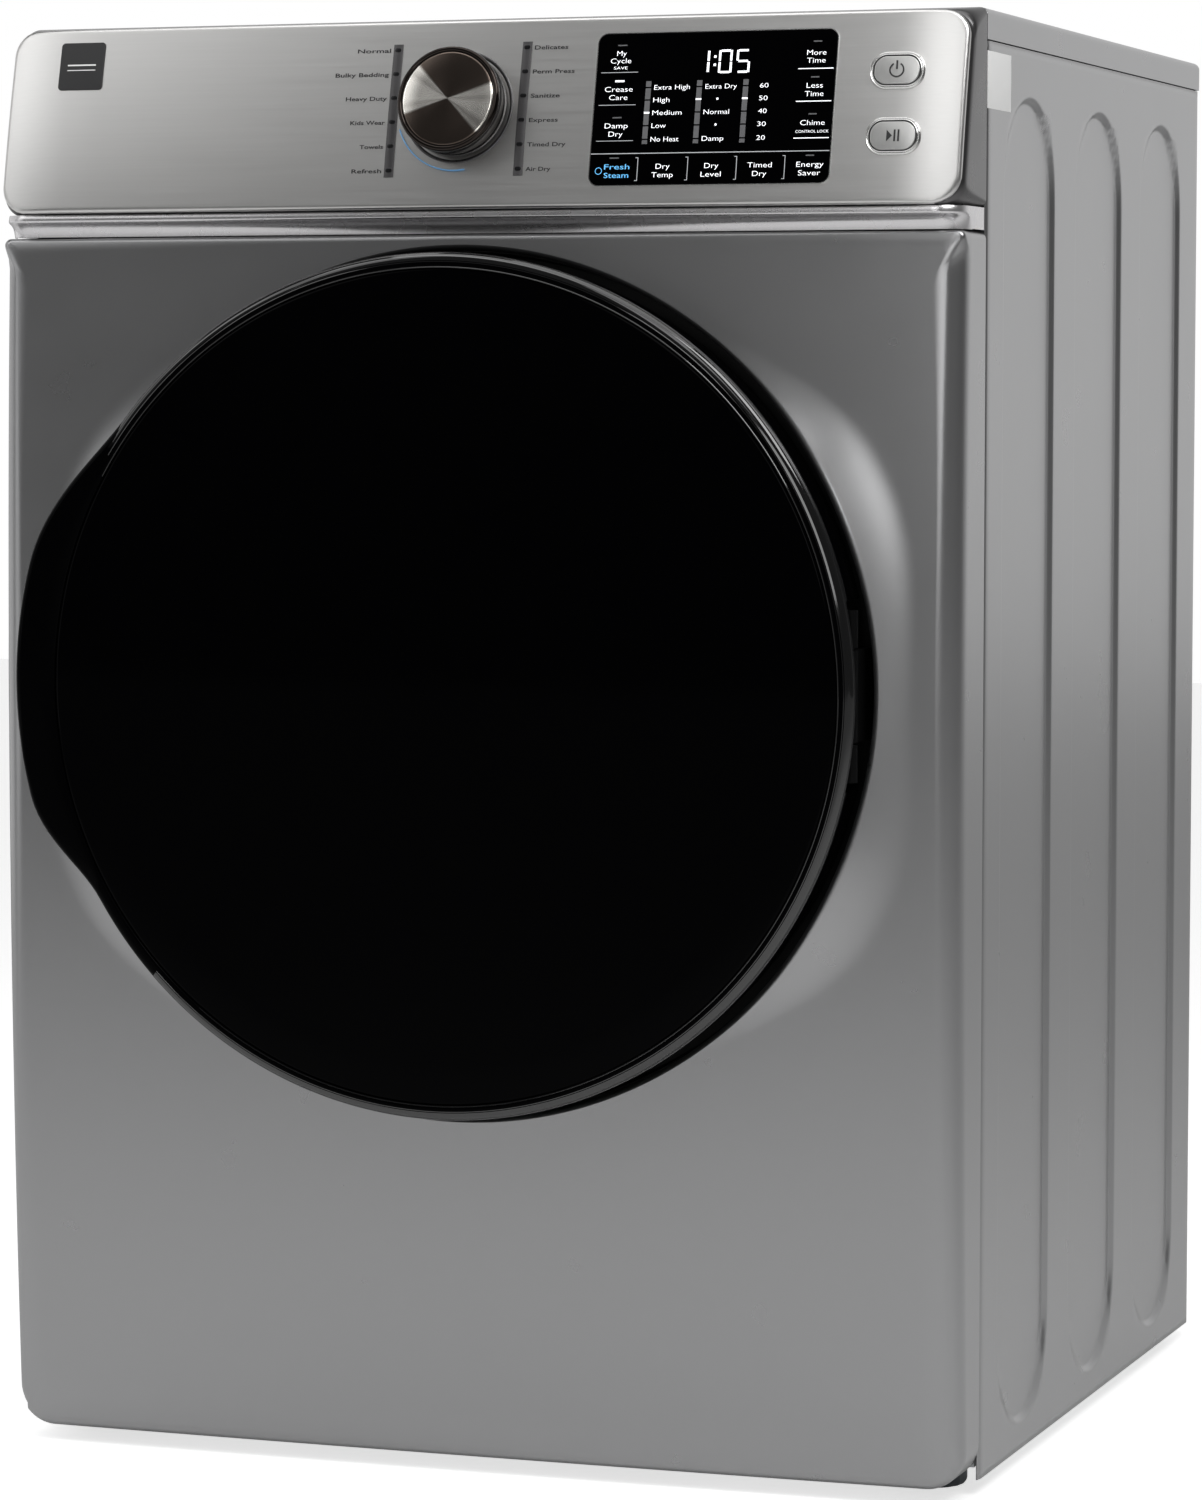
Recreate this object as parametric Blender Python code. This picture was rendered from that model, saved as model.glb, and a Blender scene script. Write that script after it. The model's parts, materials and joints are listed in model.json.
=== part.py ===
"""Front-loading clothes dryer, full size, metres, +Z up, front of the machine at -Y.

The row frame has its origin on the floor, in the middle of the overall width and depth.
Depths below are written from the seam between the front panel and the side panels.
"""
import math

import bpy
from mathutils import Matrix, Vector

# ---- driving dimensions -------------------------------------------------------------
HALF_W = 0.343            # cabinet half width
HEIGHT = 0.984            # floor to the top of the worktop
SEAM = -0.270             # row Y of the seam between front panel and side panels
BACK = 0.6195             # side panel depth behind the seam
GAP = 0.0003              # clearance between touching pieces
TOP_Z = 0.9630            # underside of the worktop band
PANEL_Z0 = 0.010          # bottom edge of the front panel
PANEL_Z1 = 0.8378         # top edge of the front panel
DOOR_X = -0.006           # door and drum centre
DOOR_Z = 0.5365
RIM_R = 0.2885            # outer radius of the door
EAR = 0.0205              # how far the handle side of the door reaches out further
GLASS_R = 0.2780          # radius of the groove between rim and glass
OPEN_R = 0.205            # loading opening
HINGE = (0.276, -0.082)   # hinge axis, X and depth from the seam
FACE_LEAN = math.radians(12.7)
FACE_Y = -0.0655          # bottom edge of the leaning console face, depth and height
FACE_Z = 0.857
KNOB = (-0.007, 0.067)    # knob centre on the console face
DRUM_R = 0.318
DRUM_Y = (0.062, 0.586)
SEGS = 48                 # segments round the drum
MOTOR = (0.135, 0.135)    # motor axis, X and Z
IDLER = (0.070, 0.165)
PULLEY_R = 0.012
IDLER_R = 0.018
DUCT = (0.0, 0.100)       # exhaust pipe axis, X and Z
DUCT_R = 0.0508           # four inch duct

for ob in list(bpy.data.objects):
    bpy.data.objects.remove(ob, do_unlink=True)


# ---- helpers ------------------------------------------------------------------------
def material(name, colour, metallic, rough):
    mat = bpy.data.materials.new(name + "_mat")
    mat.use_nodes = True
    bsdf = mat.node_tree.nodes["Principled BSDF"]
    bsdf.inputs["Base Color"].default_value = (*colour, 1.0)
    bsdf.inputs["Metallic"].default_value = metallic
    bsdf.inputs["Roughness"].default_value = rough
    return mat


STEEL = ((0.30, 0.30, 0.31), 0.7, 0.35)
ZINC = ((0.52, 0.53, 0.54), 0.9, 0.40)
BRIGHT = ((0.62, 0.62, 0.62), 0.9, 0.22)
BLACK = ((0.012, 0.012, 0.013), 0.0, 0.15)
DARK = ((0.035, 0.035, 0.038), 0.0, 0.40)
GREY = ((0.20, 0.21, 0.22), 0.0, 0.55)
WHITE = ((0.70, 0.70, 0.68), 0.0, 0.45)
RUBBER = ((0.03, 0.03, 0.03), 0.0, 0.80)
FELT = ((0.45, 0.43, 0.38), 0.0, 0.95)
GREEN = ((0.03, 0.18, 0.07), 0.0, 0.50)
BLUE = ((0.25, 0.50, 0.75), 0.0, 0.30)


def make(name, verts, faces, finish, origin=(0.0, 0.0, 0.0), smooth=False):
    """A mesh object from world coordinates, with its origin at the given point."""
    mesh = bpy.data.meshes.new(name)
    o = Vector(origin)
    mesh.from_pydata([tuple(Vector(v) - o) for v in verts], [], faces)
    mesh.validate()
    ob = bpy.data.objects.new(name, mesh)
    bpy.context.scene.collection.objects.link(ob)
    ob.location = o
    mesh.materials.append(material(name, *finish))
    fix_normals(ob)
    if smooth:
        shade(ob)
    return ob


def fix_normals(ob):
    import bmesh
    bm = bmesh.new()
    bm.from_mesh(ob.data)
    bmesh.ops.recalc_face_normals(bm, faces=bm.faces)
    bm.to_mesh(ob.data)
    bm.free()


def shade(ob, angle=35.0):
    for poly in ob.data.polygons:
        poly.use_smooth = True
    ob.data.set_sharp_from_angle(angle=math.radians(angle))


def boolean(ob, tools, operation="DIFFERENCE"):
    """Apply the tools to the object and take them away."""
    for tool in tools:
        mod = ob.modifiers.new("cut", "BOOLEAN")
        mod.operation = operation
        mod.solver = "EXACT"
        mod.object = tool
        bpy.context.view_layer.update()
        graph = bpy.context.evaluated_depsgraph_get()
        mesh = bpy.data.meshes.new_from_object(ob.evaluated_get(graph))
        ob.modifiers.clear()
        mats = list(ob.data.materials)
        ob.data = mesh
        ob.data.materials.clear()
        ob.data.materials.append(mats[0])
        bpy.data.objects.remove(tool, do_unlink=True)
    return ob


def at(x, depth, z):
    """World point from a depth behind the seam."""
    return (x, SEAM + depth, z)


def box_data(x0, x1, y0, y1, z0, z1):
    verts = [at(x, y, z) for z in (z0, z1) for y in (y0, y1) for x in (x0, x1)]
    faces = [(0, 2, 3, 1), (4, 5, 7, 6), (0, 1, 5, 4), (2, 6, 7, 3), (0, 4, 6, 2), (1, 3, 7, 5)]
    return verts, faces


def box(name, x0, x1, y0, y1, z0, z1, finish=GREY, origin=(0.0, 0.0, 0.0)):
    verts, faces = box_data(x0, x1, y0, y1, z0, z1)
    return make(name, verts, faces, finish, origin)


def tray(name, lo, hi, wall, side, finish):
    """An open box; side is the axis and sign of its open side."""
    axis, sign = side
    inner_lo = [c + wall for c in lo]
    inner_hi = [c - wall for c in hi]
    if sign > 0:
        inner_hi[axis] = hi[axis] + 0.01
    else:
        inner_lo[axis] = lo[axis] - 0.01
    ob = box(name, lo[0], hi[0], lo[1], hi[1], lo[2], hi[2], finish)
    tool = box("tool", inner_lo[0], inner_hi[0], inner_lo[1], inner_hi[1], inner_lo[2], inner_hi[2])
    return boolean(ob, [tool])


def prism(name, pts, axis, a0, a1, finish=GREY, origin=(0.0, 0.0, 0.0), smooth=False):
    """A closed outline extruded along x, y or z; the outline uses the other two axes."""
    def place(p, a):
        if axis == "x":
            return at(a, p[0], p[1])
        if axis == "y":
            return at(p[0], a, p[1])
        return at(p[0], p[1], a)
    n = len(pts)
    verts = [place(p, a0) for p in pts] + [place(p, a1) for p in pts]
    faces = [tuple(range(n)), tuple(range(2 * n - 1, n - 1, -1))]
    faces += [(i, (i + 1) % n, n + (i + 1) % n, n + i) for i in range(n)]
    return make(name, verts, faces, finish, origin, smooth)


def loft(rings, closed_section=True):
    """Faces over equal rings of points; the rings themselves close round."""
    n = len(rings[0])
    m = len(rings)
    verts = [p for ring in rings for p in ring]
    faces = []
    last = m if closed_section else m - 1
    for k in range(last):
        a = k * n
        b = ((k + 1) % m) * n
        faces += [(a + i, a + (i + 1) % n, b + (i + 1) % n, b + i) for i in range(n)]
    return verts, faces


def spin(name, profile, segs, frame, finish, origin=None, phase=0.0, smooth=True):
    """A closed profile of (radius, height) turned round the local Z of the frame."""
    verts = []
    faces = []
    index = []
    for r, h in profile:
        if r < 1e-9:
            index.append([len(verts)] * segs)
            verts.append(tuple(frame @ Vector((0.0, 0.0, h))))
            continue
        ring = []
        for i in range(segs):
            a = phase + 2.0 * math.pi * i / segs
            ring.append(len(verts))
            verts.append(tuple(frame @ Vector((r * math.cos(a), r * math.sin(a), h))))
        index.append(ring)
    count = len(profile)
    for k in range(count):
        a = index[k]
        b = index[(k + 1) % count]
        for i in range(segs):
            j = (i + 1) % segs
            quad = []
            for v in (a[i], a[j], b[j], b[i]):
                if v not in quad:
                    quad.append(v)
            if len(quad) > 2:
                faces.append(tuple(quad))
    if origin is None:
        origin = frame.translation
    return make(name, verts, faces, finish, origin, smooth)


def along_y(x, depth, z):
    """Frame with local Z pointing to the back."""
    return Matrix.Translation(at(x, depth, z)) @ Matrix.Rotation(-math.pi / 2.0, 4, "X")


def upright(x, depth, z):
    return Matrix.Translation(at(x, depth, z))


def rounded(cx, cy, w, h, r, steps=4):
    """Outline of a rounded rectangle."""
    pts = []
    corners = ((1, 1, 0), (-1, 1, 90), (-1, -1, 180), (1, -1, 270))
    for sx, sy, start in corners:
        ox = cx + sx * (w / 2.0 - r)
        oy = cy + sy * (h / 2.0 - r)
        for k in range(steps + 1):
            a = math.radians(start + 90.0 * k / steps)
            pts.append((ox + r * math.cos(a), oy + r * math.sin(a)))
    return pts


FACE_UP = Vector((0.0, math.sin(FACE_LEAN), math.cos(FACE_LEAN)))
FACE_OUT = Vector((0.0, -math.cos(FACE_LEAN), math.sin(FACE_LEAN)))


def on_face(x, s, h=0.0):
    """World point from console face coordinates."""
    return tuple(Vector(at(x, FACE_Y, FACE_Z)) + FACE_UP * s + FACE_OUT * h)


def face_frame(x, s):
    """Frame on the console face with local Z pointing out of it."""
    rot = Matrix((Vector((1, 0, 0)), FACE_UP, FACE_OUT)).transposed().to_4x4()
    return Matrix.Translation(on_face(x, s)) @ rot


def face_prism(name, pts, h0, h1, finish=GREY, origin=None, hole=None):
    """An outline on the console face raised from h0 to h1, with an optional hole outline."""
    n = len(pts)
    if origin is None:
        origin = on_face(pts[0][0], pts[0][1], h0)
    if hole is None:
        verts = [on_face(p[0], p[1], h0) for p in pts] + [on_face(p[0], p[1], h1) for p in pts]
        faces = [tuple(range(n)), tuple(range(2 * n - 1, n - 1, -1))]
        faces += [(i, (i + 1) % n, n + (i + 1) % n, n + i) for i in range(n)]
        return make(name, verts, faces, finish, origin)
    rings = []
    for loop, h in ((pts, h0), (pts, h1), (hole, h1), (hole, h0)):
        rings.append([on_face(p[0], p[1], h) for p in loop])
    verts, faces = loft(rings)
    return make(name, verts, faces, finish, origin)


# ---- cabinet ------------------------------------------------------------------------
def rib_outline(y0, y1, z0, z1, inset, steps=7):
    """Long oval of an embossed side rib."""
    cy = (y0 + y1) / 2.0
    a = (y1 - y0) / 2.0 - inset
    end = 0.068 - inset
    pts = []
    for k in range(steps + 1):
        t = math.pi * k / steps
        pts.append((cy + a * math.cos(t), z1 - inset - end + end * math.sin(t)))
    for k in range(steps + 1):
        t = math.pi + math.pi * k / steps
        pts.append((cy + a * math.cos(t), z0 + inset + end + end * math.sin(t)))
    return pts


def side_panel(name, sign):
    """Thin steel sheet with three long ovals pressed inward from its field."""
    import bmesh
    field = HALF_W - 0.0030
    outer = HALF_W
    sheet = 0.0010
    border = [(GAP, 0.0105), (BACK, 0.0105), (BACK, TOP_Z - GAP), (GAP, TOP_Z - GAP)]
    ribs = [(0.044, 0.180), (0.237, 0.373), (0.429, 0.559)]
    low = [rib_outline(a, b, 0.028, 0.932, 0.0) for a, b in ribs]
    high = [rib_outline(a, b, 0.028, 0.932, 0.008) for a, b in ribs]
    bm = bmesh.new()
    layers = []
    for shift in (0.0, sheet):
        loops = [[bm.verts.new(at(sign * (outer - shift), y, z)) for y, z in border]]
        loops += [[bm.verts.new(at(sign * (outer - shift), y, z)) for y, z in ring] for ring in low]
        floors = [[bm.verts.new(at(sign * (field - shift), y, z)) for y, z in ring] for ring in high]
        edges = []
        for loop in loops:
            edges += [bm.edges.new((loop[i], loop[(i + 1) % len(loop)])) for i in range(len(loop))]
        bmesh.ops.triangle_fill(bm, use_beauty=True, use_dissolve=False, edges=edges)
        for ring, floor in zip(loops[1:], floors):
            n = len(ring)
            for i in range(n):
                bm.faces.new((ring[i], ring[(i + 1) % n], floor[(i + 1) % n], floor[i]))
            bm.faces.new(floor)
        layers.append(loops[0])
    for i in range(4):
        j = (i + 1) % 4
        bm.faces.new((layers[0][i], layers[0][j], layers[1][j], layers[1][i]))
    bmesh.ops.recalc_face_normals(bm, faces=bm.faces)
    mesh = bpy.data.meshes.new(name)
    bm.to_mesh(mesh)
    bm.free()
    ob = bpy.data.objects.new(name, mesh)
    bpy.context.scene.collection.objects.link(ob)
    mesh.materials.append(material(name, *STEEL))
    return ob


def edge_depth(z):
    """How far the side edge of the front panel stands in front of the seam."""
    if z < 0.5:
        return 0.060 - 0.016 * ((0.5 - z) / 0.49) ** 2
    return 0.060 - 0.008 * ((z - 0.5) / 0.34) ** 2


def face_depth(x, z):
    """Crowned front of the front panel."""
    return -(edge_depth(z) + 0.004 * (1.0 - (x / HALF_W) ** 2))


def rect_reach(angle, half_w, z0, z1, radius):
    """Distance from the door centre to a rounded rectangle, in the given direction."""
    dx = math.cos(angle)
    dz = math.sin(angle)
    low = 0.0
    high = 0.9
    for _ in range(40):
        mid = (low + high) / 2.0
        x = DOOR_X + mid * dx
        z = DOOR_Z + mid * dz
        r = radius if z < DOOR_Z else min(radius, 0.006)
        qx = max(abs(x) - (half_w - r), 0.0)
        qz = max(z - (z1 - r), (z0 + r) - z, 0.0)
        inside = math.hypot(qx, qz) <= r and abs(x) < half_w and z0 < z < z1
        if inside:
            low = mid
        else:
            high = mid
    return low


def corner_angles(count, half_w, z0, z1):
    """Even angles, with the nearest ones moved onto the rectangle corners."""
    angles = [2.0 * math.pi * k / count for k in range(count)]
    for cx, cz in ((half_w, z1), (-half_w, z1), (-half_w, z0), (half_w, z0)):
        a = math.atan2(cz - DOOR_Z, cx - DOOR_X) % (2.0 * math.pi)
        best = min(range(count), key=lambda k: abs(angles[k] - a))
        angles[best] = a
    return angles


def offset_path(path, t):
    """The (radius, depth) path moved to its left by t."""
    out = []
    n = len(path)
    for k in range(n):
        a = path[max(k - 1, 0)]
        b = path[min(k + 1, n - 1)]
        dx = b[0] - a[0]
        dy = b[1] - a[1]
        length = math.hypot(dx, dy)
        out.append((path[k][0] - t * dy / length, path[k][1] + t * dx / length))
    return out


def front_panel():
    """Pressed steel front with a rolled recess round the door and a loading hole."""
    angles = corner_angles(64, HALF_W, PANEL_Z0, PANEL_Z1)
    rings = None
    for a in angles:
        reach = rect_reach(a, HALF_W, PANEL_Z0, PANEL_Z1, 0.024)
        def face(r):
            return face_depth(DOOR_X + r * math.cos(a), DOOR_Z + r * math.sin(a))
        room = reach - 0.2912
        roll = min(0.012, 0.30 * room)
        inner = min(0.3175, 0.2912 + 0.55 * room)
        bend = 0.2912 + 0.25 * (inner - 0.2912)
        path = [(OPEN_R, -0.004), (OPEN_R, -0.022), (0.2900, -0.022)]
        path += [(0.2912, -0.045), (bend, face(inner) + 0.0055), (inner, face(inner))]
        far = reach - roll
        path += [(far, face(far))]
        edge = face(reach)
        path += [(reach - 0.3 * roll, edge + 0.3 * roll), (reach, edge + roll), (reach, -GAP)]
        back = offset_path(path, 0.0012)
        back[0] = (OPEN_R + 0.0012, -0.004)
        back[-1] = (reach - 0.0012, -GAP)
        loop = path + back[::-1]
        if rings is None:
            rings = [[] for _ in loop]
        for k, (r, y) in enumerate(loop):
            rings[k].append(at(DOOR_X + r * math.cos(a), y, DOOR_Z + r * math.sin(a)))
    verts, faces = loft(rings)
    return make("front_panel", verts, faces, STEEL, smooth=True)


def bulkhead(name, hole, y0, y1, c0, c1, finish):
    """Plate across the cabinet with a round hole and a collar that carries the drum seal."""
    angles = corner_angles(SEGS, 0.3385, 0.205, 0.900)
    rings = [[] for _ in range(8)]
    for a in angles:
        reach = rect_reach(a, 0.3385, 0.205, 0.900, 0.0)
        section = [(hole, y0), (reach, y0), (reach, y1), (0.298, y1), (0.298, c1), (0.296, c1)]
        section += [(0.296, y1), (hole, y1)]
        if c0 is not None:
            section = [(hole, y0), (0.296, y0), (0.296, c0), (0.298, c0), (0.298, y0), (reach, y0)]
            section += [(reach, y1), (hole, y1)]
        for k, (r, y) in enumerate(section):
            rings[k].append(at(DOOR_X + r * math.cos(a), y, DOOR_Z + r * math.sin(a)))
    verts, faces = loft(rings)
    return make(name, verts, faces, finish)


def cabinet():
    side_panel("left_side_panel", -1.0)
    side_panel("right_side_panel", 1.0)
    pan = tray("base_pan", [-0.3385, 0.0040, 0.0180], [0.3385, 0.6135, 0.0420], 0.0015, (2, 1), ZINC)
    holes = []
    for x, y in FEET:
        holes.append(spin("tool", [(0, -0.01), (0.0068, -0.01), (0.0068, 0.02), (0, 0.02)], 16,
                          upright(x, y, 0.0180), GREY, smooth=False))
    boolean(pan, holes)
    rear = box("rear_panel", -0.3385, 0.3385, 0.6150, 0.6165, 0.0180, TOP_Z - GAP, STEEL)
    hole = spin("tool", [(0, -0.02), (0.0530, -0.02), (0.0530, 0.02), (0, 0.02)], 32,
                along_y(DUCT[0], 0.6155, DUCT[1]), GREY, smooth=False)
    boolean(rear, [hole])
    worktop = [(0.0003, TOP_Z), (0.0003, HEIGHT - 0.004), (0.0035, HEIGHT)]
    worktop += [(BACK - 0.004, HEIGHT), (BACK, HEIGHT - 0.004), (BACK, TOP_Z)]
    body = prism("worktop", worktop, "x", -HALF_W, HALF_W, STEEL)
    tool = box("tool", -HALF_W + 0.0015, HALF_W - 0.0015, 0.0018, BACK - 0.0015, TOP_Z - 0.01, HEIGHT - 0.0015)
    boolean(body, [tool])
    front_panel()
    bulkhead("front_bulkhead", OPEN_R, 0.0275, 0.0295, None, 0.0600, ZINC)
    bulkhead("rear_bulkhead", 0.100, 0.5915, 0.5935, 0.5820, None, ZINC)
    outline = [(-0.290, 0.070), (-0.070, 0.070), (-0.070, 0.400), (0.110, 0.430), (0.110, 0.650), (-0.290, 0.650)]
    inset = [(-0.2885, 0.0715), (-0.0715, 0.0715), (-0.0715, 0.4010), (0.1085, 0.4310), (0.1085, 0.6485),
             (-0.2885, 0.6485)]
    duct = prism("rear_air_duct", outline, "y", 0.5940, 0.6130, ZINC)
    boolean(duct, [prism("tool", inset, "y", 0.5900, 0.6115)])
    box("terminal_cover", 0.170, 0.270, 0.6168, 0.6300, 0.640, 0.760, STEEL)
    spin("door_gasket", [(0.2120, 0.0), (0.2200, 0.0), (0.2200, -0.0100), (0.2160, -0.0170), (0.2120, -0.0100)],
         SEGS, along_y(DOOR_X, -0.0226, DOOR_Z), RUBBER)


FEET = [(-0.300, 0.035), (0.300, 0.035), (-0.300, 0.585), (0.300, 0.585)]


def feet():
    names = ("foot_front_left", "foot_front_right", "foot_rear_left", "foot_rear_right")
    profile = [(0, 0.0), (0.0230, 0.0), (0.0250, 0.0025), (0.0250, 0.0100), (0.0180, 0.0130), (0.0060, 0.0140),
               (0.0060, 0.0420), (0, 0.0420)]
    for name, (x, y) in zip(names, FEET):
        spin(name, profile, 16, upright(x, y, 0.0), DARK)


# ---- console ------------------------------------------------------------------------
def console():
    top = 0.1270
    sections = []
    for x, d in ((-HALF_W, 0.013), (-0.3385, 0.0045), (-0.330, 0.0), (0.330, 0.0), (0.3385, 0.0045), (HALF_W, 0.013)):
        ring = []
        for s in (0.0045, 0.060, top):
            p = Vector(on_face(x, s, 0.0))
            ring.append((x, p.y + d, p.z))
        ring.append(at(x, -0.0355 + d, 0.9835))
        ring.append(at(x, -0.0325 + 0.5 * d, HEIGHT))
        ring.append(at(x, -0.0003, HEIGHT))
        ring.append(at(x, -0.0003, FACE_Z))
        ring.append(at(x, -0.0615 + d, FACE_Z))
        ring.append(at(x, -0.0642 + d, 0.8585))
        sections.append(ring)
    verts, faces = loft(sections, closed_section=False)
    n = len(sections[0])
    last = (len(sections) - 1) * n
    faces.append(tuple(range(n)))
    faces.append(tuple(range(last + n - 1, last - 1, -1)))
    shell = make("console_fascia", verts, faces, BRIGHT)
    inner = []
    for x in (-0.3270, 0.3270):
        ring = [on_face(x, 0.0060, -0.0030), on_face(x, 0.1190, -0.0030)]
        ring += [at(x, -0.0290, 0.9810), at(x, 0.0100, 0.9810), at(x, 0.0100, FACE_Z + 0.0030)]
        ring.append(at(x, -0.0590, FACE_Z + 0.0030))
        inner.append(ring)
    verts, faces = loft(inner, closed_section=False)
    faces.append(tuple(range(6)))
    faces.append(tuple(range(11, 5, -1)))
    hollow = make("tool", verts, faces, GREY)
    shaft = spin("tool", [(0, -0.01), (0.0056, -0.01), (0.0056, 0.01), (0, 0.01)], 24, face_frame(*KNOB), GREY,
                 smooth=False)
    cuts = [hollow, shaft]
    for s in BUTTON_S:
        cuts.append(face_prism("tool", rounded(BUTTON_X, s, 0.0328, 0.0204, 0.0080), -0.010, 0.010))
    boolean(shell, cuts)
    cove = [(-0.0612, FACE_Z - GAP), (-0.0520, 0.8530), (-0.0475, 0.8470), (-0.0455, PANEL_Z1 + GAP)]
    cove += [(-0.0020, PANEL_Z1 + GAP), (-0.0020, FACE_Z - GAP)]
    prism("console_cove", cove, "x", -0.3380, 0.3380, BLACK)
    face_prism("display_glass", rounded(0.1715, 0.0635, 0.165, 0.103, 0.008), GAP, 0.0018, BLACK)
    face_prism("led_bar_left", rounded(-0.0538, 0.0654, 0.0066, 0.0915, 0.0006, 3), GAP, 0.0012, DARK)
    face_prism("led_bar_right", rounded(0.0384, 0.0654, 0.0066, 0.0915, 0.0006, 3), GAP, 0.0012, DARK)
    face_prism("badge_plate", rounded(-0.286, 0.1008, 0.0325, 0.0335, 0.003), GAP, 0.0012, DARK)
    tray_outer = rounded(0.120, 0.0630, 0.400, 0.098, 0.004, 2)
    tray_inner = rounded(0.120, 0.0630, 0.397, 0.095, 0.003, 2)
    holder = face_prism("board_tray", tray_outer, -0.0260, -0.0034, GREY)
    boolean(holder, [face_prism("tool", tray_inner, -0.0245, 0.0100)])
    board = rounded(0.120, 0.0630, 0.392, 0.090, 0.002, 2)
    face_prism("control_board", board, -0.0242, -0.0226, GREEN)
    frame = face_frame(*KNOB)
    body = [(0, -0.0222), (0.0045, -0.0222), (0.0045, 0.0018), (0.0345, 0.0018), (0.0355, 0.0040)]
    body += [(0.0347, 0.0200), (0.0335, 0.0222), (0.0315, 0.0222), (0.0308, 0.0205), (0, 0.0205)]
    spin("control_knob", body, 32, frame, BLACK)
    cap = [(0, 0.0208), (0.0304, 0.0208), (0.0304, 0.0216), (0.0120, 0.0222), (0, 0.0226)]
    spin("knob_cap", cap, 32, frame, BRIGHT)
    halo = [(0.0375, GAP), (0.0405, GAP), (0.0405, 0.0009), (0.0392, 0.0014), (0.0375, 0.0012)]
    spin("knob_ring", halo, 32, frame, BLUE)
    for name, s in zip(("power", "start"), BUTTON_S):
        outer = rounded(BUTTON_X, s, 0.0384, 0.0262, 0.0115)
        inner_loop = rounded(BUTTON_X, s, 0.0334, 0.0210, 0.0083)
        face_prism(name + "_button_bezel", outer, GAP, 0.0013, BRIGHT, hole=inner_loop)
        cap_loop = rounded(BUTTON_X, s, 0.0320, 0.0196, 0.0076)
        face_prism(name + "_button", cap_loop, -0.0050, 0.0016, GREY, origin=on_face(BUTTON_X, s, 0.0))


BUTTON_X = 0.2955
BUTTON_S = (0.0862, 0.0424)


# ---- drum ---------------------------------------------------------------------------
def drum():
    axis = along_y(DOOR_X, 0.0, DOOR_Z)
    y0, y1 = DRUM_Y
    shell = [(0.303, y0), (DRUM_R, y0), (DRUM_R, y1), (0.303, y1), (0.303, y1 - 0.002), (DRUM_R - 0.002, y1 - 0.002)]
    shell += [(DRUM_R - 0.002, y0 + 0.002), (0.303, y0 + 0.002)]
    spin("drum", shell, SEGS, axis, ZINC)
    step = 2.0 * math.pi / SEGS
    for k in range(3):
        centre = round((k / 3.0 + 0.25) * SEGS) * step
        pts = []
        for i in (-1, 0, 1):
            a = centre + i * step
            pts.append((DOOR_X + 0.3155 * math.cos(a), DOOR_Z + 0.3155 * math.sin(a)))
        for i in (0.55, 0.30, -0.30, -0.55):
            a = centre + i * step
            r = 0.262 if abs(i) < 0.5 else 0.268
            pts.append((DOOR_X + r * math.cos(a), DOOR_Z + r * math.sin(a)))
        prism("drum_baffle_%d" % (k + 1), pts, "y", 0.090, 0.560, ZINC, origin=at(DOOR_X, 0.0, DOOR_Z))
    ring = [(0.2990, 0.0), (0.3020, 0.0), (0.3020, 0.011), (0.2990, 0.011)]
    spin("drum_front_seal", ring, SEGS, along_y(DOOR_X, 0.0470, DOOR_Z), FELT)
    spin("drum_rear_seal", ring, SEGS, along_y(DOOR_X, 0.5800, DOOR_Z), FELT)
    for name, side in (("rear_roller_left", -1.0), ("rear_roller_right", 1.0)):
        a = -math.pi / 2.0 + side * math.radians(33.75)
        r = DRUM_R + GAP + 0.020
        x = DOOR_X + r * math.cos(a)
        z = DOOR_Z + r * math.sin(a)
        wheel = [(0.0045, 0.0), (0.0195, 0.0), (0.0200, 0.0010), (0.0200, 0.0190), (0.0195, 0.0200)]
        wheel += [(0.0045, 0.0200)]
        spin(name, wheel, 16, along_y(x, 0.558, z), RUBBER)
        pin = [(0, 0.5912), (0.0080, 0.5912), (0.0080, 0.5790), (0.0041, 0.5790), (0.0041, 0.5550), (0, 0.5550)]
        spin(name + "_shaft", pin, 16, along_y(x, 0.0, z), ZINC)


def hull(points):
    """Convex hull of points in the plane."""
    pts = sorted(set(points))
    def half(seq):
        out = []
        for p in seq:
            while len(out) > 1:
                ax, az = out[-2]
                bx, bz = out[-1]
                if (bx - ax) * (p[1] - az) - (bz - az) * (p[0] - ax) > 1e-12:
                    break
                out.pop()
            out.append(p)
        return out[:-1]
    return half(pts) + half(pts[::-1])


def circle(cx, cz, r, n):
    return [(cx + r * math.cos(2 * math.pi * i / n), cz + r * math.sin(2 * math.pi * i / n)) for i in range(n)]


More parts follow.
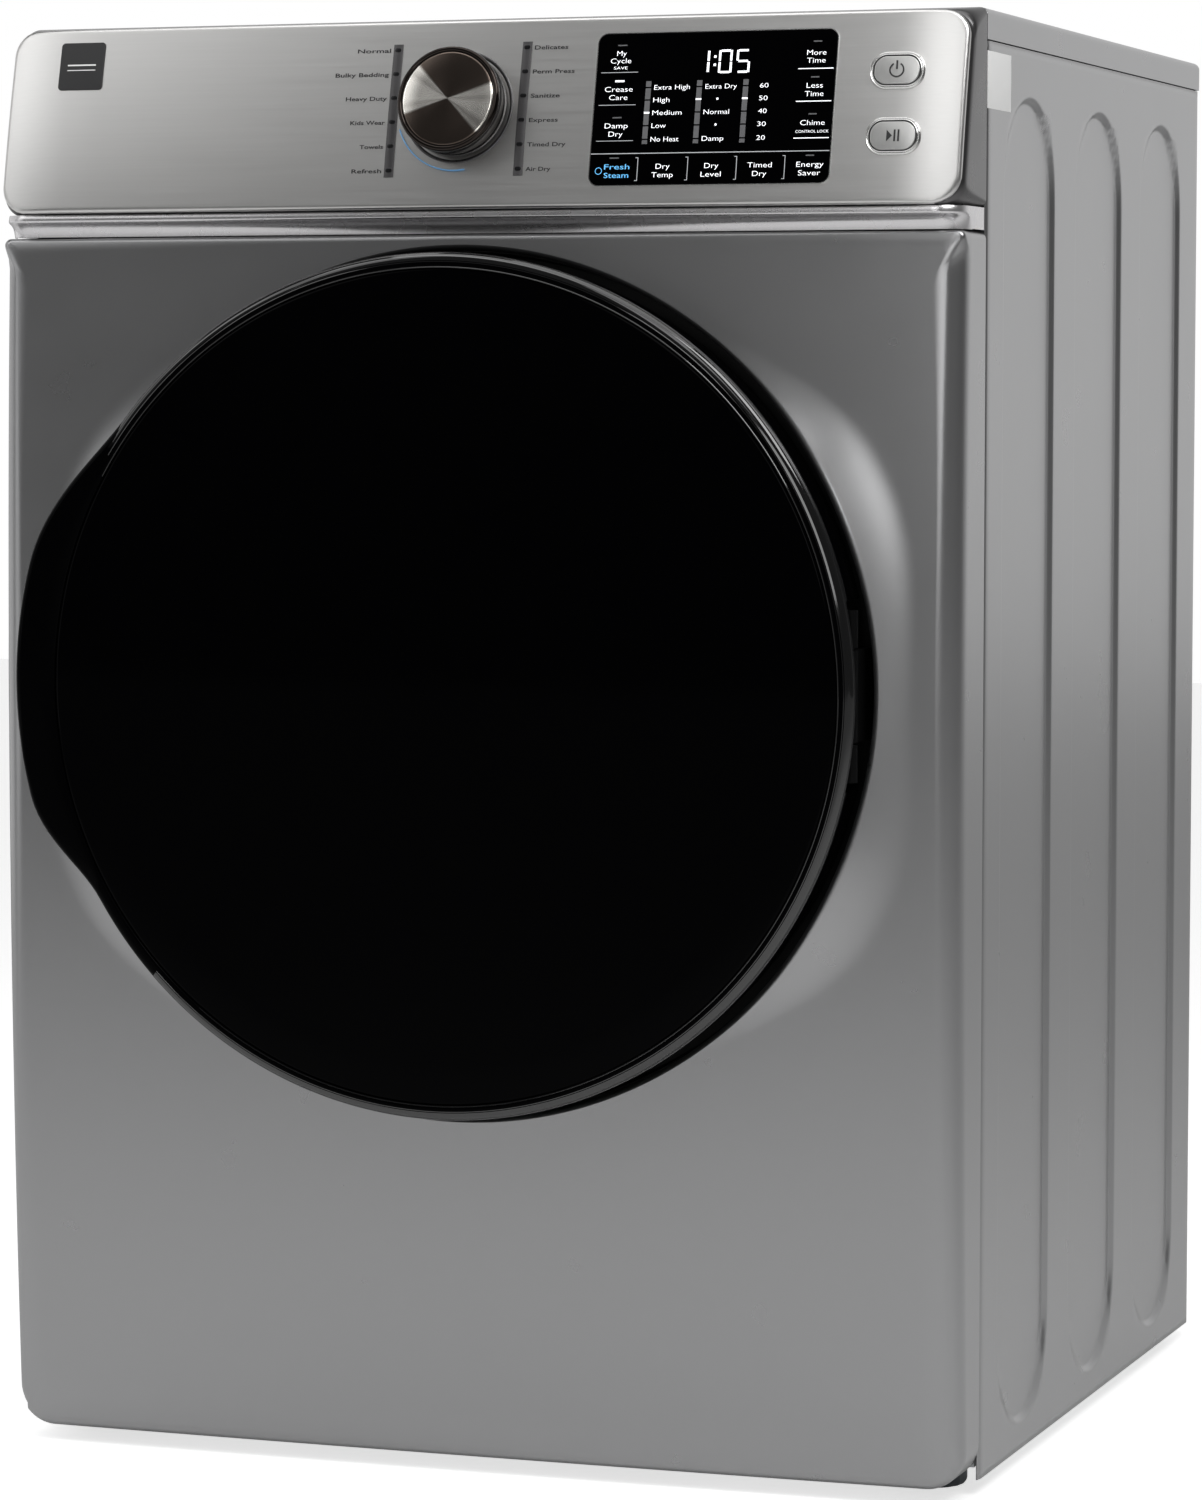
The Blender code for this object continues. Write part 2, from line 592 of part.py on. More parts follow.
def drive():
    x, z = MOTOR
    motor = [(0.0046, 0.106), (0.030, 0.106), (0.034, 0.112), (0.056, 0.114), (0.058, 0.120), (0.058, 0.236)]
    motor += [(0.056, 0.242), (0.034, 0.244), (0.030, 0.250), (0.0046, 0.250)]
    spin("motor", motor, 24, along_y(x, 0.0, z), GREY)
    rotor = [(0, 0.0640), (0.0040, 0.0640), (0.0040, 0.2620), (PULLEY_R, 0.2640), (PULLEY_R - 0.001, 0.2670)]
    rotor += [(PULLEY_R - 0.001, 0.2850), (PULLEY_R, 0.2880), (0, 0.2880)]
    spin("motor_rotor", rotor, 24, along_y(x, 0.0, z), ZINC)
    bracket = tray("motor_bracket", [x - 0.050, 0.125, 0.0198], [x + 0.050, 0.232, 0.0760], 0.002, (2, 1), ZINC)
    cradle = spin("tool", [(0, 0.10), (0.0584, 0.10), (0.0584, 0.26), (0, 0.26)], 24, along_y(x, 0.0, z), GREY,
                  smooth=False)
    boolean(bracket, [cradle])
    gap = 0.0006
    ride = 0.0014  # the belt's flats stay clear of the turning drum's corners
    inner = hull(circle(DOOR_X, DOOR_Z, DRUM_R + ride, SEGS) + circle(x, z, PULLEY_R + gap, 24)
                 + circle(IDLER[0], IDLER[1], IDLER_R + gap, 24))
    outer = hull(circle(DOOR_X, DOOR_Z, DRUM_R + ride + 0.002, SEGS) + circle(x, z, PULLEY_R + gap + 0.002, 24)
                 + circle(IDLER[0], IDLER[1], IDLER_R + gap + 0.002, 24))
    band = prism("drive_belt", outer, "y", 0.2700, 0.2820, RUBBER)
    boolean(band, [prism("tool", inner, "y", 0.2600, 0.2900)])
    wheel = [(0.0046, 0.2680), (IDLER_R, 0.2680), (IDLER_R, 0.2840), (0.0046, 0.2840)]
    spin("idler_pulley", wheel, 24, along_y(IDLER[0], 0.0, IDLER[1]), GREY, origin=at(IDLER[0], 0.276, IDLER[1]))
    pin = [(0, 0.2860), (0.0100, 0.2860), (0.0100, 0.2843), (0.0042, 0.2843), (0.0042, 0.2660), (0, 0.2660)]
    pin = [(r, h) for r, h in pin]
    arm = [(IDLER[0] - 0.012, IDLER[1] + 0.012), (IDLER[0] + 0.012, IDLER[1] + 0.012), (0.086, 0.0199),
           (0.050, 0.0199)]
    plate = prism("idler_arm", arm, "y", 0.2860, 0.2885, ZINC)
    stub = spin("tool", pin, 24, along_y(IDLER[0], 0.0005, IDLER[1]), GREY, smooth=False)
    boolean(plate, [stub], "UNION")


def blower():
    x, z = MOTOR
    y0, y1 = 0.0350, 0.1000
    def scroll(name, grow, a, b):
        r = 0.085 - grow
        top = 0.155 - grow
        end = math.pi - math.asin((top - z) / r)
        pts = [(DUCT[0] - 0.058 + grow, top), (DUCT[0] - 0.058 + grow, z - r)]
        for k in range(25):
            t = -math.pi / 2.0 + (end + math.pi / 2.0) * k / 24
            pts.append((x + r * math.cos(t), z + r * math.sin(t)))
        return prism(name, pts, "y", a, b, ZINC)
    shell = scroll("blower_housing", 0.0, y0, y1)
    core = scroll("tool", 0.0016, y0 + 0.0016, y1 - 0.0016)
    inlet = spin("tool", [(0, 0.02), (0.048, 0.02), (0.048, 0.045), (0, 0.045)], 32, along_y(x, 0.0, z), GREY,
                 smooth=False)
    bore = spin("tool", [(0, 0.09), (0.0052, 0.09), (0.0052, 0.12), (0, 0.12)], 24, along_y(x, 0.0, z), GREY,
                smooth=False)
    outlet = spin("tool", [(0, 0.09), (0.0490, 0.09), (0.0490, 0.12), (0, 0.12)], 32,
                  along_y(DUCT[0], 0.0, DUCT[1]), GREY, smooth=False)
    boolean(shell, [core, inlet, bore, outlet])
    hub = [(0.0043, 0.0660), (0.0600, 0.0900), (0.0690, 0.0900), (0.0690, 0.0925), (0.0043, 0.0925)]
    wheel = spin("blower_wheel", hub, 24, along_y(x, 0.0, z), WHITE, origin=at(x, 0.0, z))
    blades = []
    for k in range(12):
        a = 2.0 * math.pi * k / 12
        ca, sa = math.cos(a), math.sin(a)
        corner = []
        for r, t in ((0.0555, -0.0010), (0.0685, 0.0040), (0.0685, 0.0062), (0.0555, 0.0010)):
            corner.append((x + r * ca - t * sa, z + r * sa + t * ca))
        blades.append(prism("tool", corner, "y", 0.0450, 0.0915))
    boolean(wheel, blades, "UNION")
    pipe = [(DUCT_R - 0.001, 0.1004), (DUCT_R, 0.1004), (DUCT_R, 0.6400), (DUCT_R - 0.001, 0.6400)]
    spin("exhaust_pipe", pipe, 32, along_y(DUCT[0], 0.0, DUCT[1]), ZINC)
    box_lo = [-0.132, 0.0030, 0.0640]
    box_hi = [0.200, 0.0268, 0.3000]
    duct = tray("lint_duct", box_lo, box_hi, 0.0016, (2, 1), WHITE)
    port = spin("tool", [(0, 0.015), (0.048, 0.015), (0.048, 0.045), (0, 0.045)], 32, along_y(x, 0.0, z), GREY,
                smooth=False)
    boolean(duct, [port])
    frame = box("lint_filter", -0.118, 0.118, 0.0070, 0.0215, 0.1500, 0.3260, WHITE, origin=at(0.0, 0.0142, 0.3260))
    slits = []
    for i in range(4):
        for j in range(2):
            x0 = -0.108 + i * 0.0545
            z0 = 0.160 + j * 0.074
            slits.append(box("tool", x0, x0 + 0.0520, 0.0, 0.0300, z0, z0 + 0.070))
    boolean(frame, slits)
    heater = box("heater_box", -0.280, -0.140, 0.220, 0.5935, 0.0750, 0.1750, ZINC)
    core = box("tool", -0.2785, -0.1415, 0.2000, 0.6200, 0.0765, 0.1735)
    boolean(heater, [core])


# ---- door ---------------------------------------------------------------------------
def rim_radius(angle):
    """Outline of the door: a circle with the handle side drawn outward."""
    off = (math.degrees(angle) + 180.0) % 360.0 - 180.0
    off = 180.0 - abs(off) if off > 0.0 else abs(off) - 180.0
    t = (39.0 - off) / 24.0 if off > 0.0 else (31.0 + off) / 16.0
    t = min(max(t, 0.0), 1.0)
    return RIM_R + EAR * t * t * (3.0 - 2.0 * t)


def door():
    hx, hy = HINGE
    origin = at(hx, hy, DOOR_Z)
    count = 56
    rings = [[] for _ in range(10)]
    for i in range(count):
        a = 2.0 * math.pi * i / count
        r = rim_radius(a)
        section = [(GLASS_R + 0.0003, -0.0985), (r - 0.0040, -0.0985), (r, -0.0940), (r - 0.0015, -0.0680)]
        section += [(0.2835, -0.0660), (0.2825, -0.0400), (0.2700, -0.0400), (0.2700, -0.0930)]
        section += [(GLASS_R + 0.0003, -0.0930), (GLASS_R + 0.0003, -0.0960)]
        for k, (rr, y) in enumerate(section):
            rings[k].append(at(DOOR_X + rr * math.cos(a), y, DOOR_Z + rr * math.sin(a)))
    verts, faces = loft(rings)
    rim = make("door_rim", verts, faces, BLACK, origin, smooth=True)
    notch = box("tool", 0.2540, 0.3000, -0.0905, -0.0300, DOOR_Z - 0.062, DOOR_Z + 0.062)
    boolean(rim, [notch])
    glass = [(0, -0.0935), (GLASS_R - 0.0003, -0.0935), (GLASS_R - 0.0003, -0.0975), (0.2500, -0.0992), (0, -0.1000)]
    axis = along_y(DOOR_X, 0.0, DOOR_Z)
    spin("door_glass", [(r, h) for r, h in glass], count, axis, BLACK, origin=origin)
    liner = [(0.1855, -0.0450), (0.2500, -0.0450), (0.2500, -0.0920), (0.2520, -0.0920), (0.2520, -0.0450)]
    liner += [(0.2690, -0.0450), (0.2690, -0.0400), (0.1855, -0.0400)]
    inner = spin("door_liner", liner, SEGS, axis, GREY, origin=origin)
    clear = box("tool", 0.2590, 0.3000, -0.0905, -0.0300, DOOR_Z - 0.062, DOOR_Z + 0.062)
    boolean(inner, [clear])
    bowl = [(0.1847, -0.0450), (0.1847, -0.0200), (0.1700, -0.0010), (0, 0.0), (0, -0.0030), (0.1680, -0.0040)]
    bowl += [(0.1815, -0.0210), (0.1815, -0.0450)]
    spin("door_bowl", bowl, SEGS, axis, WHITE, origin=origin)
    box("door_latch_hook", -0.2640, -0.2560, -0.0397, -0.0290, DOOR_Z - 0.0060, DOOR_Z + 0.0060, ZINC, origin)
    strike = box("door_strike", -0.2780, -0.2420, -0.0350, -0.0223, DOOR_Z - 0.0180, DOOR_Z + 0.0180, DARK)
    pocket = box("tool", -0.2710, -0.2490, -0.0400, -0.0260, DOOR_Z - 0.0090, DOOR_Z + 0.0090)
    boolean(strike, [pocket])
    # fixed leaf: foot on the recess floor, web and barrel with two pins
    leaf = box("hinge_bracket", 0.2560, 0.2790, -0.0258, -0.0223, DOOR_Z - 0.0300, DOOR_Z + 0.0300, ZINC)
    web = box("tool", hx - 0.0025, hx + 0.0025, hy, -0.0240, DOOR_Z - 0.0300, DOOR_Z + 0.0300)
    barrel = spin("tool", [(0, -0.030), (0.0050, -0.030), (0.0050, 0.030), (0, 0.030)], 16, upright(hx, hy, DOOR_Z),
                  GREY, smooth=False)
    pins = spin("tool", [(0, -0.052), (0.0022, -0.052), (0.0022, 0.052), (0, 0.052)], 12, upright(hx, hy, DOOR_Z),
                GREY, smooth=False)
    boolean(leaf, [web, barrel, pins], "UNION")
    # moving leaf: plate inside the liner with two eyes
    arm = box("hinge_arm", 0.2545, 0.2585, -0.0900, -0.0455, DOOR_Z - 0.0580, DOOR_Z + 0.0580, ZINC, origin)
    parts = []
    for lo, hi in ((-0.056, -0.0315), (0.0315, 0.056)):
        parts.append(box("tool", 0.2560, hx, hy - 0.0022, hy + 0.0022, DOOR_Z + lo, DOOR_Z + hi))
        parts.append(spin("tool", [(0, lo), (0.0050, lo), (0.0050, hi), (0, hi)], 16, upright(hx, hy, DOOR_Z), GREY,
                          smooth=False))
    boolean(arm, parts, "UNION")
    bore = spin("tool", [(0, -0.0600), (0.0026, -0.0600), (0.0026, 0.0600), (0, 0.0600)], 12,
                upright(hx, hy, DOOR_Z), GREY, smooth=False)
    boolean(arm, [bore])


cabinet()
feet()
console()
drum()
drive()
blower()
door()
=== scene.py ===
"""Looks of the front-loading dryer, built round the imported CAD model. Metres, +Z up, front at -Y."""
import json
import math
from math import asin, atan2, cos, hypot, pi, radians, sin, sqrt, tau

import bmesh
import bpy
from mathutils import Matrix, Vector

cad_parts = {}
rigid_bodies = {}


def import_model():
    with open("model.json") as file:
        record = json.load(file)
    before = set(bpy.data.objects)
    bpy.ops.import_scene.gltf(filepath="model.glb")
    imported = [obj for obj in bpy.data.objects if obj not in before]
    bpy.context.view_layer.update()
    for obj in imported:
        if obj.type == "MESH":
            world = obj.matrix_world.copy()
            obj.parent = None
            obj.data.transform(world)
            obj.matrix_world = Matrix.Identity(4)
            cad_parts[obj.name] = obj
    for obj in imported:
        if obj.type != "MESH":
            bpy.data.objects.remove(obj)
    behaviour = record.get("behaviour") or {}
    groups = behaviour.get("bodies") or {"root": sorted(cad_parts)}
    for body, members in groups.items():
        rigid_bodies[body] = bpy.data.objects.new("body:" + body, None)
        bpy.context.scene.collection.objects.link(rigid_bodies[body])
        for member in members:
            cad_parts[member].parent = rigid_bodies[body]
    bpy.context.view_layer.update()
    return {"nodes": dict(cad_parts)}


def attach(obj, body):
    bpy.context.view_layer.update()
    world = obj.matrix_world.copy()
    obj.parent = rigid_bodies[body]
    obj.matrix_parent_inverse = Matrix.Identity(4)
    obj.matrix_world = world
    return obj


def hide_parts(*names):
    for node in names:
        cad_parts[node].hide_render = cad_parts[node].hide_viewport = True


for leftover in list(bpy.data.objects):
    bpy.data.objects.remove(leftover, do_unlink=True)

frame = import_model()
NODES = frame["nodes"]

# ---- dimensions shared with the CAD -------------------------------------------------
HALF_W = 0.343
HEIGHT = 0.984
SEAM = -0.270
BACK = 0.6195
GAP = 0.0003
TOP_Z = 0.9630
PANEL_Z0 = 0.010
PANEL_Z1 = 0.8378
DOOR_X = -0.006
DOOR_Z = 0.5365
RIM_R = 0.2885
EAR = 0.0205
GLASS_R = 0.2780
OPEN_R = 0.205
LEAN = radians(12.7)
FACE_Y = -0.0655
FACE_Z = 0.857
KNOB = (-0.007, 0.067)
KEY_X = 0.2955
KEY_S = (0.0862, 0.0424)
DISPLAY = (0.1715, 0.0635)
DISPLAY_W = 0.165
DISPLAY_H = 0.103
BAR_X = (-0.0538, 0.0384)
BAR_STEP = 0.01662
FACE_UP = Vector((0.0, sin(LEAN), cos(LEAN)))
FACE_OUT = Vector((0.0, -cos(LEAN), sin(LEAN)))


# ---- materials ----------------------------------------------------------------------
def feed(tree, node, inputs):
    """Fill a node's inputs: a socket is linked, anything else becomes the input's own value."""
    for key, value in inputs.items():
        if isinstance(value, bpy.types.NodeSocket):
            tree.links.new(value, node.inputs[key])
        else:
            node.inputs[key].default_value = value
    return node


def add(tree, kind, inputs, **settings):
    """New shader node with its settings and inputs."""
    node = tree.nodes.new("ShaderNode" + kind)
    for key, value in settings.items():
        setattr(node, key, value)
    return feed(tree, node, inputs)


def tone(colour, share):
    return (*[min(c * share, 1.0) for c in colour], 1.0)


def surface(name, colour, metallic=0.0, rough=0.4, vary=0.06, rough_vary=0.05, grain=(40.0, 40.0, 40.0),
            bump=0.0, bump_scale=(900.0, 900.0, 900.0), coat=0.0, level=0.5, smudge=0.0, aniso=0.0):
    """Principled material with procedural colour, roughness and relief variation."""
    mat = bpy.data.materials.new(name)
    mat.use_nodes = True
    tree = mat.node_tree
    bsdf = tree.nodes["Principled BSDF"]
    coords = add(tree, "TexCoord", {}).outputs["Object"]
    place = add(tree, "Mapping", {"Scale": grain, "Vector": coords})
    noise = add(tree, "TexNoise", {"Scale": 1.0, "Detail": 4.0, "Vector": place.outputs["Vector"]}).outputs["Fac"]
    tint = add(tree, "Mix", {"A": tone(colour, 1.0 - vary), "B": tone(colour, 1.0 + vary), "Factor": noise},
               data_type="RGBA")
    span = add(tree, "MapRange", {"From Min": 0.25, "From Max": 0.75, "To Min": max(rough - rough_vary, 0.01),
                                  "To Max": rough + rough_vary, "Value": noise}).outputs["Result"]
    feed(tree, bsdf, {"Metallic": metallic, "Specular IOR Level": level, "Coat Weight": coat,
                      "Coat Roughness": 0.06, "Anisotropic": aniso, "Base Color": tint.outputs["Result"],
                      "Roughness": span})
    if smudge:
        wide = add(tree, "TexNoise", {"Scale": 9.0, "Detail": 3.0, "Vector": coords})
        lift = add(tree, "Math", {0: wide.outputs["Fac"], 1: smudge, 2: span}, operation="MULTIPLY_ADD")
        feed(tree, bsdf, {"Roughness": lift.outputs["Value"]})
    if bump:
        spot = add(tree, "Mapping", {"Scale": bump_scale, "Vector": coords})
        fine = add(tree, "TexNoise", {"Scale": 1.0, "Detail": 2.0, "Vector": spot.outputs["Vector"]})
        relief = add(tree, "Bump", {"Strength": bump, "Distance": 0.0004, "Height": fine.outputs["Fac"]})
        feed(tree, bsdf, {"Normal": relief.outputs["Normal"]})
    return mat


def refine(mat, inputs):
    """Change inputs of a material's Principled shader."""
    feed(mat.node_tree, mat.node_tree.nodes["Principled BSDF"], inputs)
    return mat


def turned_metal_painted_highlights(name, colour, dark):
    """Turned metal: streaks round the local Z axis, with painted highlights: light sectors painted where the highlights
    fall and bronze sectors of painted shade between them, fixed to the object so they turn with it.
    """
    mat = surface(name, colour, metallic=1.0, rough=0.20, vary=0.03, rough_vary=0.01, grain=(60.0, 60.0, 60.0),
                  aniso=0.7)
    tree = mat.node_tree
    tangent = add(tree, "Tangent", {}, direction_type="RADIAL", axis="Z")
    around = add(tree, "TexGradient", {"Vector": add(tree, "TexCoord", {}).outputs["Object"]},
                 gradient_type="RADIAL")
    ramp = add(tree, "ValToRGB", {"Fac": around.outputs["Fac"]})
    # share of a full turn, and how bright the painted highlight is there; 0 gives the bronze painted shade
    highlight_tones = ((0.0, 1.0), (0.025, 0.72), (0.046, 0.95), (0.057, 0.0), (0.366, 0.0), (0.378, 0.85), (0.400, 0.55),
             (0.425, 1.0), (0.470, 1.0), (0.500, 0.70), (0.525, 1.0), (0.546, 0.90), (0.557, 0.0), (0.866, 0.0),
             (0.878, 0.90), (0.905, 0.65), (0.930, 1.0))
    while len(ramp.color_ramp.elements) < len(highlight_tones):
        ramp.color_ramp.elements.new(0.5)
    for stop, (where, level) in zip(ramp.color_ramp.elements, highlight_tones):
        stop.position = where
        stop.color = (*[d + (c - d) * level for c, d in zip(colour, dark)], 1.0)
    return refine(mat, {"Tangent": tangent.outputs["Tangent"], "Anisotropic Rotation": 0.25,
                        "Base Color": ramp.outputs["Color"]})


def spangled(name, colour, rough):
    """Galvanised sheet with faint crystal patches."""
    mat = surface(name, colour, metallic=0.95, rough=rough, vary=0.04, grain=(60.0, 60.0, 60.0), bump=0.05)
    tree = mat.node_tree
    cells = add(tree, "TexVoronoi", {"Scale": 110.0, "Vector": add(tree, "TexCoord", {}).outputs["Object"]})
    grey = add(tree, "RGBToBW", {"Color": cells.outputs["Color"]})
    tint = add(tree, "Mix", {"A": tone(colour, 0.86), "B": tone(colour, 1.10), "Factor": grey.outputs["Val"]},
               data_type="RGBA")
    return refine(mat, {"Base Color": tint.outputs["Result"]})


def glowing(name, colour, strength):
    return refine(surface(name, colour, rough=0.4, vary=0.02),
                  {"Emission Color": (*colour, 1.0), "Emission Strength": strength})


def see_through(name, colour, rough):
    return refine(surface(name, colour, rough=rough, vary=0.02, rough_vary=0.02, smudge=0.05),
                  {"Transmission Weight": 0.92, "IOR": 1.49})


PAINT = surface("graphite_paint", (0.37, 0.37, 0.375), metallic=0.92, rough=0.28, vary=0.015, rough_vary=0.008,
                grain=(22.0, 22.0, 22.0), bump=0.05, bump_scale=(120.0, 120.0, 120.0))
SHELL = surface("console_shell", (0.125, 0.123, 0.125), metallic=0.92, rough=0.28, vary=0.02, rough_vary=0.02)
BRUSHED = surface("brushed_silver", (0.66, 0.655, 0.645), metallic=1.0, rough=0.32, vary=0.04, rough_vary=0.02,
                  grain=(12.0, 700.0, 700.0), bump=0.015, bump_scale=(20.0, 900.0, 900.0))
COVE = surface("cove_paint", (0.70, 0.69, 0.70), metallic=0.92, rough=0.27, vary=0.02, rough_vary=0.02)
GLOSS = surface("gloss_black", (0.0008, 0.0008, 0.0010), rough=0.07, vary=0.2, rough_vary=0.01, level=0.03,
                smudge=0.02)
ROLL = surface("polished_rim", (0.002, 0.002, 0.0022), rough=0.06, vary=0.2, rough_vary=0.01, level=1.0)
DOOR_GLASS = surface("black_glass", (0.0006, 0.0006, 0.0008), rough=0.04, vary=0.2, rough_vary=0.01, level=0.03,
                     smudge=0.02)
CHROME = surface("bezel_chrome", (0.72, 0.72, 0.71), metallic=1.0, rough=0.22, vary=0.03, rough_vary=0.03)
BRONZE = surface("dark_chrome", (0.036, 0.030, 0.027), metallic=1.0, rough=0.10, vary=0.05, rough_vary=0.02)
KEY = surface("key_satin", (0.60, 0.60, 0.59), metallic=0.9, rough=0.34, vary=0.04, grain=(700.0, 700.0, 20.0),
              bump=0.05)
# knob cap metal: turned streaks plus light and bronze sectors painted in as highlights and shade
SPUN_PAINTED_HIGHLIGHTS = turned_metal_painted_highlights("spun_metal_painted_highlights", (1.0, 0.97, 0.91), (0.125, 0.100, 0.085))
INK = surface("dark_ink", (0.02, 0.02, 0.021), rough=0.55, vary=0.1)
BAR = surface("light_bar", (0.055, 0.053, 0.055), rough=0.35, vary=0.1)
WINDOW = surface("light_window", (0.006, 0.006, 0.007), rough=0.2, vary=0.1)
LIT = glowing("display_white", (0.95, 0.96, 1.0), 0.85)
DIM = glowing("display_dim", (0.45, 0.46, 0.48), 0.35)
SOFT = glowing("display_grey", (0.12, 0.12, 0.125), 0.12)
SKY = glowing("display_blue", (0.12, 0.42, 0.75), 0.7)
RING = glowing("ring_blue", (0.16, 0.38, 0.66), 0.10)
ZINC = spangled("galvanised", (0.56, 0.57, 0.58), 0.34)
DRUM = spangled("drum_steel", (0.62, 0.62, 0.63), 0.26)
# near-black painted shade: put in the recess round the door and in the wells and gaps round the keys
SHADE_BLACK = surface("painted_shade_black", (0.004, 0.004, 0.004), rough=0.6, vary=0.15, bump=0.05)
# near-black for the hinge parts: painted shade, so the hinge gap beside the door stays dark
HINGE_SHADE_BLACK = surface("hinge_painted_shade_black", (0.004, 0.004, 0.0042), metallic=0.3, rough=0.5, vary=0.1, level=0.1)
RUBBER = surface("rubber", (0.022, 0.022, 0.023), rough=0.72, vary=0.15, bump=0.12)
SLATE = surface("foot_plastic", (0.055, 0.065, 0.075), rough=0.5, vary=0.1, bump=0.10)
PLASTIC = surface("grey_plastic", (0.17, 0.175, 0.18), rough=0.48, vary=0.05, bump=0.10, bump_scale=(1400.0,) * 3)
WHITE = surface("white_plastic", (0.66, 0.66, 0.64), rough=0.42, vary=0.04, bump=0.06)
FELT = surface("felt", (0.42, 0.40, 0.36), rough=0.95, vary=0.18, bump=0.6, grain=(500.0, 500.0, 500.0))
BOARD = surface("circuit_board", (0.02, 0.13, 0.05), rough=0.35, vary=0.12, grain=(120.0, 120.0, 120.0), coat=0.3)
CAST = surface("motor_shell", (0.16, 0.165, 0.17), metallic=0.4, rough=0.42, vary=0.08, bump=0.15)
SCREW = surface("screw_zinc", (0.50, 0.50, 0.49), metallic=1.0, rough=0.28, vary=0.06)
CLEAR = see_through("bowl_clear", (0.93, 0.94, 0.95), 0.06)
LABEL = surface("plain_label", (0.93, 0.93, 0.92), rough=0.5, vary=0.03)


# ---- mesh helpers -------------------------------------------------------------------
def at(x, depth, z):
    return Vector((x, SEAM + depth, z))


def face_bow(x, s):
    """How far the silver face falls back towards its top, bottom and ends."""
    end = max(0.0, abs(x) - 0.292) / 0.048
    return 0.0016 * ((s - 0.0630) / 0.066) ** 2 + 0.0042 * end ** 2.2


def on_face(x, s, h=0.0):
    return at(x, FACE_Y, FACE_Z) + FACE_UP * s + FACE_OUT * (h - face_bow(x, s))


def piece(name, verts, faces, mat, body="cabinet", replaces=(), smooth=True, sharp=32.0, pose=None):
    """A mesh piece that rides on a body; pose is a local frame when verts are local."""
    mesh = bpy.data.meshes.new(name)
    mesh.from_pydata([tuple(v) for v in verts], [], faces)
    bm = bmesh.new()
    bm.from_mesh(mesh)
    bmesh.ops.recalc_face_normals(bm, faces=bm.faces)
    bm.to_mesh(mesh)
    bm.free()
    ob = bpy.data.objects.new(name, mesh)
    bpy.context.scene.collection.objects.link(ob)
    if pose is not None:
        ob.matrix_world = pose
    mesh.materials.append(mat)
    if smooth:
        for poly in mesh.polygons:
            poly.use_smooth = True
        mesh.set_sharp_from_angle(angle=radians(sharp))
    if body:
        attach(ob, body)
    if replaces:
        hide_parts(*replaces)
    return ob


def strips(rings, around=True, ends="none", loop=False):
    """Faces over equal rings; ends may be capped, or the last ring joined to the first."""
    n = len(rings[0])
    m = len(rings)
    verts = [p for ring in rings for p in ring]
    faces = []
    for k in range(m if loop else m - 1):
        a = k * n
        b = ((k + 1) % m) * n
        for i in range(n if around else n - 1):
            j = (i + 1) % n
            faces.append((a + i, a + j, b + j, b + i))
    if ends == "cap":
        faces.append(tuple(range(n)))
        faces.append(tuple(range((m - 1) * n, m * n)))
    return verts, faces


def grid_faces(rows, cols):
    """Quads over rows of points listed one row after another."""
    return [(a, a + 1, a + cols + 1, a + cols) for k in range(rows - 1) for a in range(k * cols, (k + 1) * cols - 1)]


def rounded(cx, cy, w, h, r, steps=8):
    pts = []
    for sx, sy, start in ((1, 1, 0), (-1, 1, 90), (-1, -1, 180), (1, -1, 270)):
        ox = cx + sx * (w / 2.0 - r)
        oy = cy + sy * (h / 2.0 - r)
        for k in range(steps + 1):
            a = radians(start + 90.0 * k / steps)
            pts.append((ox + r * cos(a), oy + r * sin(a)))
    return pts


def pillow(name, cx, cs, w, h, r, low, high, roll, mat, body="cabinet", slot=None, replaces=(), steps=10):
    """Rounded plate on the console face with a rolled front edge."""
    rings = []
    for inset, level in ((0.0, low), (0.0, high - roll)):
        pts = rounded(cx, cs, w - 2 * inset, h - 2 * inset, max(r - inset, 0.0004), steps)
        rings.append([on_face(x, s, level) for x, s in pts])
    for a in quarter(6)[1:]:
        inset = roll * (1.0 - cos(a))
        pts = rounded(cx, cs, w - 2 * inset, h - 2 * inset, max(r - inset, 0.0004), steps)
        rings.append([on_face(x, s, high - roll + roll * sin(a)) for x, s in pts])
    verts, faces = strips(rings, ends="cap")
    return piece(name, verts, faces, mat, body, replaces, sharp=40.0)


def turned(name, profile, segs, pose, mat, body="cabinet", replaces=(), sharp=32.0):
    """A (radius, height) profile turned round the local Z of pose. Local mesh, so pose is kept."""
    verts = []
    index = []
    for r, h in profile:
        if r < 1e-9:
            index.append([len(verts)] * segs)
            verts.append((0.0, 0.0, h))
            continue
        ring = []
        for i in range(segs):
            a = tau * i / segs
            ring.append(len(verts))
            verts.append((r * cos(a), r * sin(a), h))
        index.append(ring)
    faces = []
    for a, b in zip(index, index[1:] + index[:1]):
        for i in range(segs):
            j = (i + 1) % segs
            quad = tuple(dict.fromkeys((a[i], a[j], b[j], b[i])))
            if len(quad) > 2:
                faces.append(quad)
    return piece(name, verts, faces, mat, body, replaces, sharp=sharp, pose=pose)


def arc(name, profile, start, stop, count, pose, mat, body="cabinet"):
    """Part of a ring: a closed section swept between two angles in degrees."""
    rings = []
    for k in range(count + 1):
        t = radians(start + (stop - start) * k / count)
        rings.append([Vector((r * cos(t), r * sin(t), h)) for r, h in profile])
    verts, faces = strips(rings, ends="cap")
    piece(name, verts, faces, mat, body, sharp=40.0, pose=pose)


def along_y(x, depth, z):
    return Matrix.Translation(at(x, depth, z)) @ Matrix.Rotation(-pi / 2.0, 4, "X")


def face_pose(x, s, h=0.0):
    rot = Matrix((Vector((1, 0, 0)), FACE_UP, FACE_OUT)).transposed().to_4x4()
    return Matrix.Translation(at(x, FACE_Y, FACE_Z) + FACE_UP * s + FACE_OUT * h) @ rot


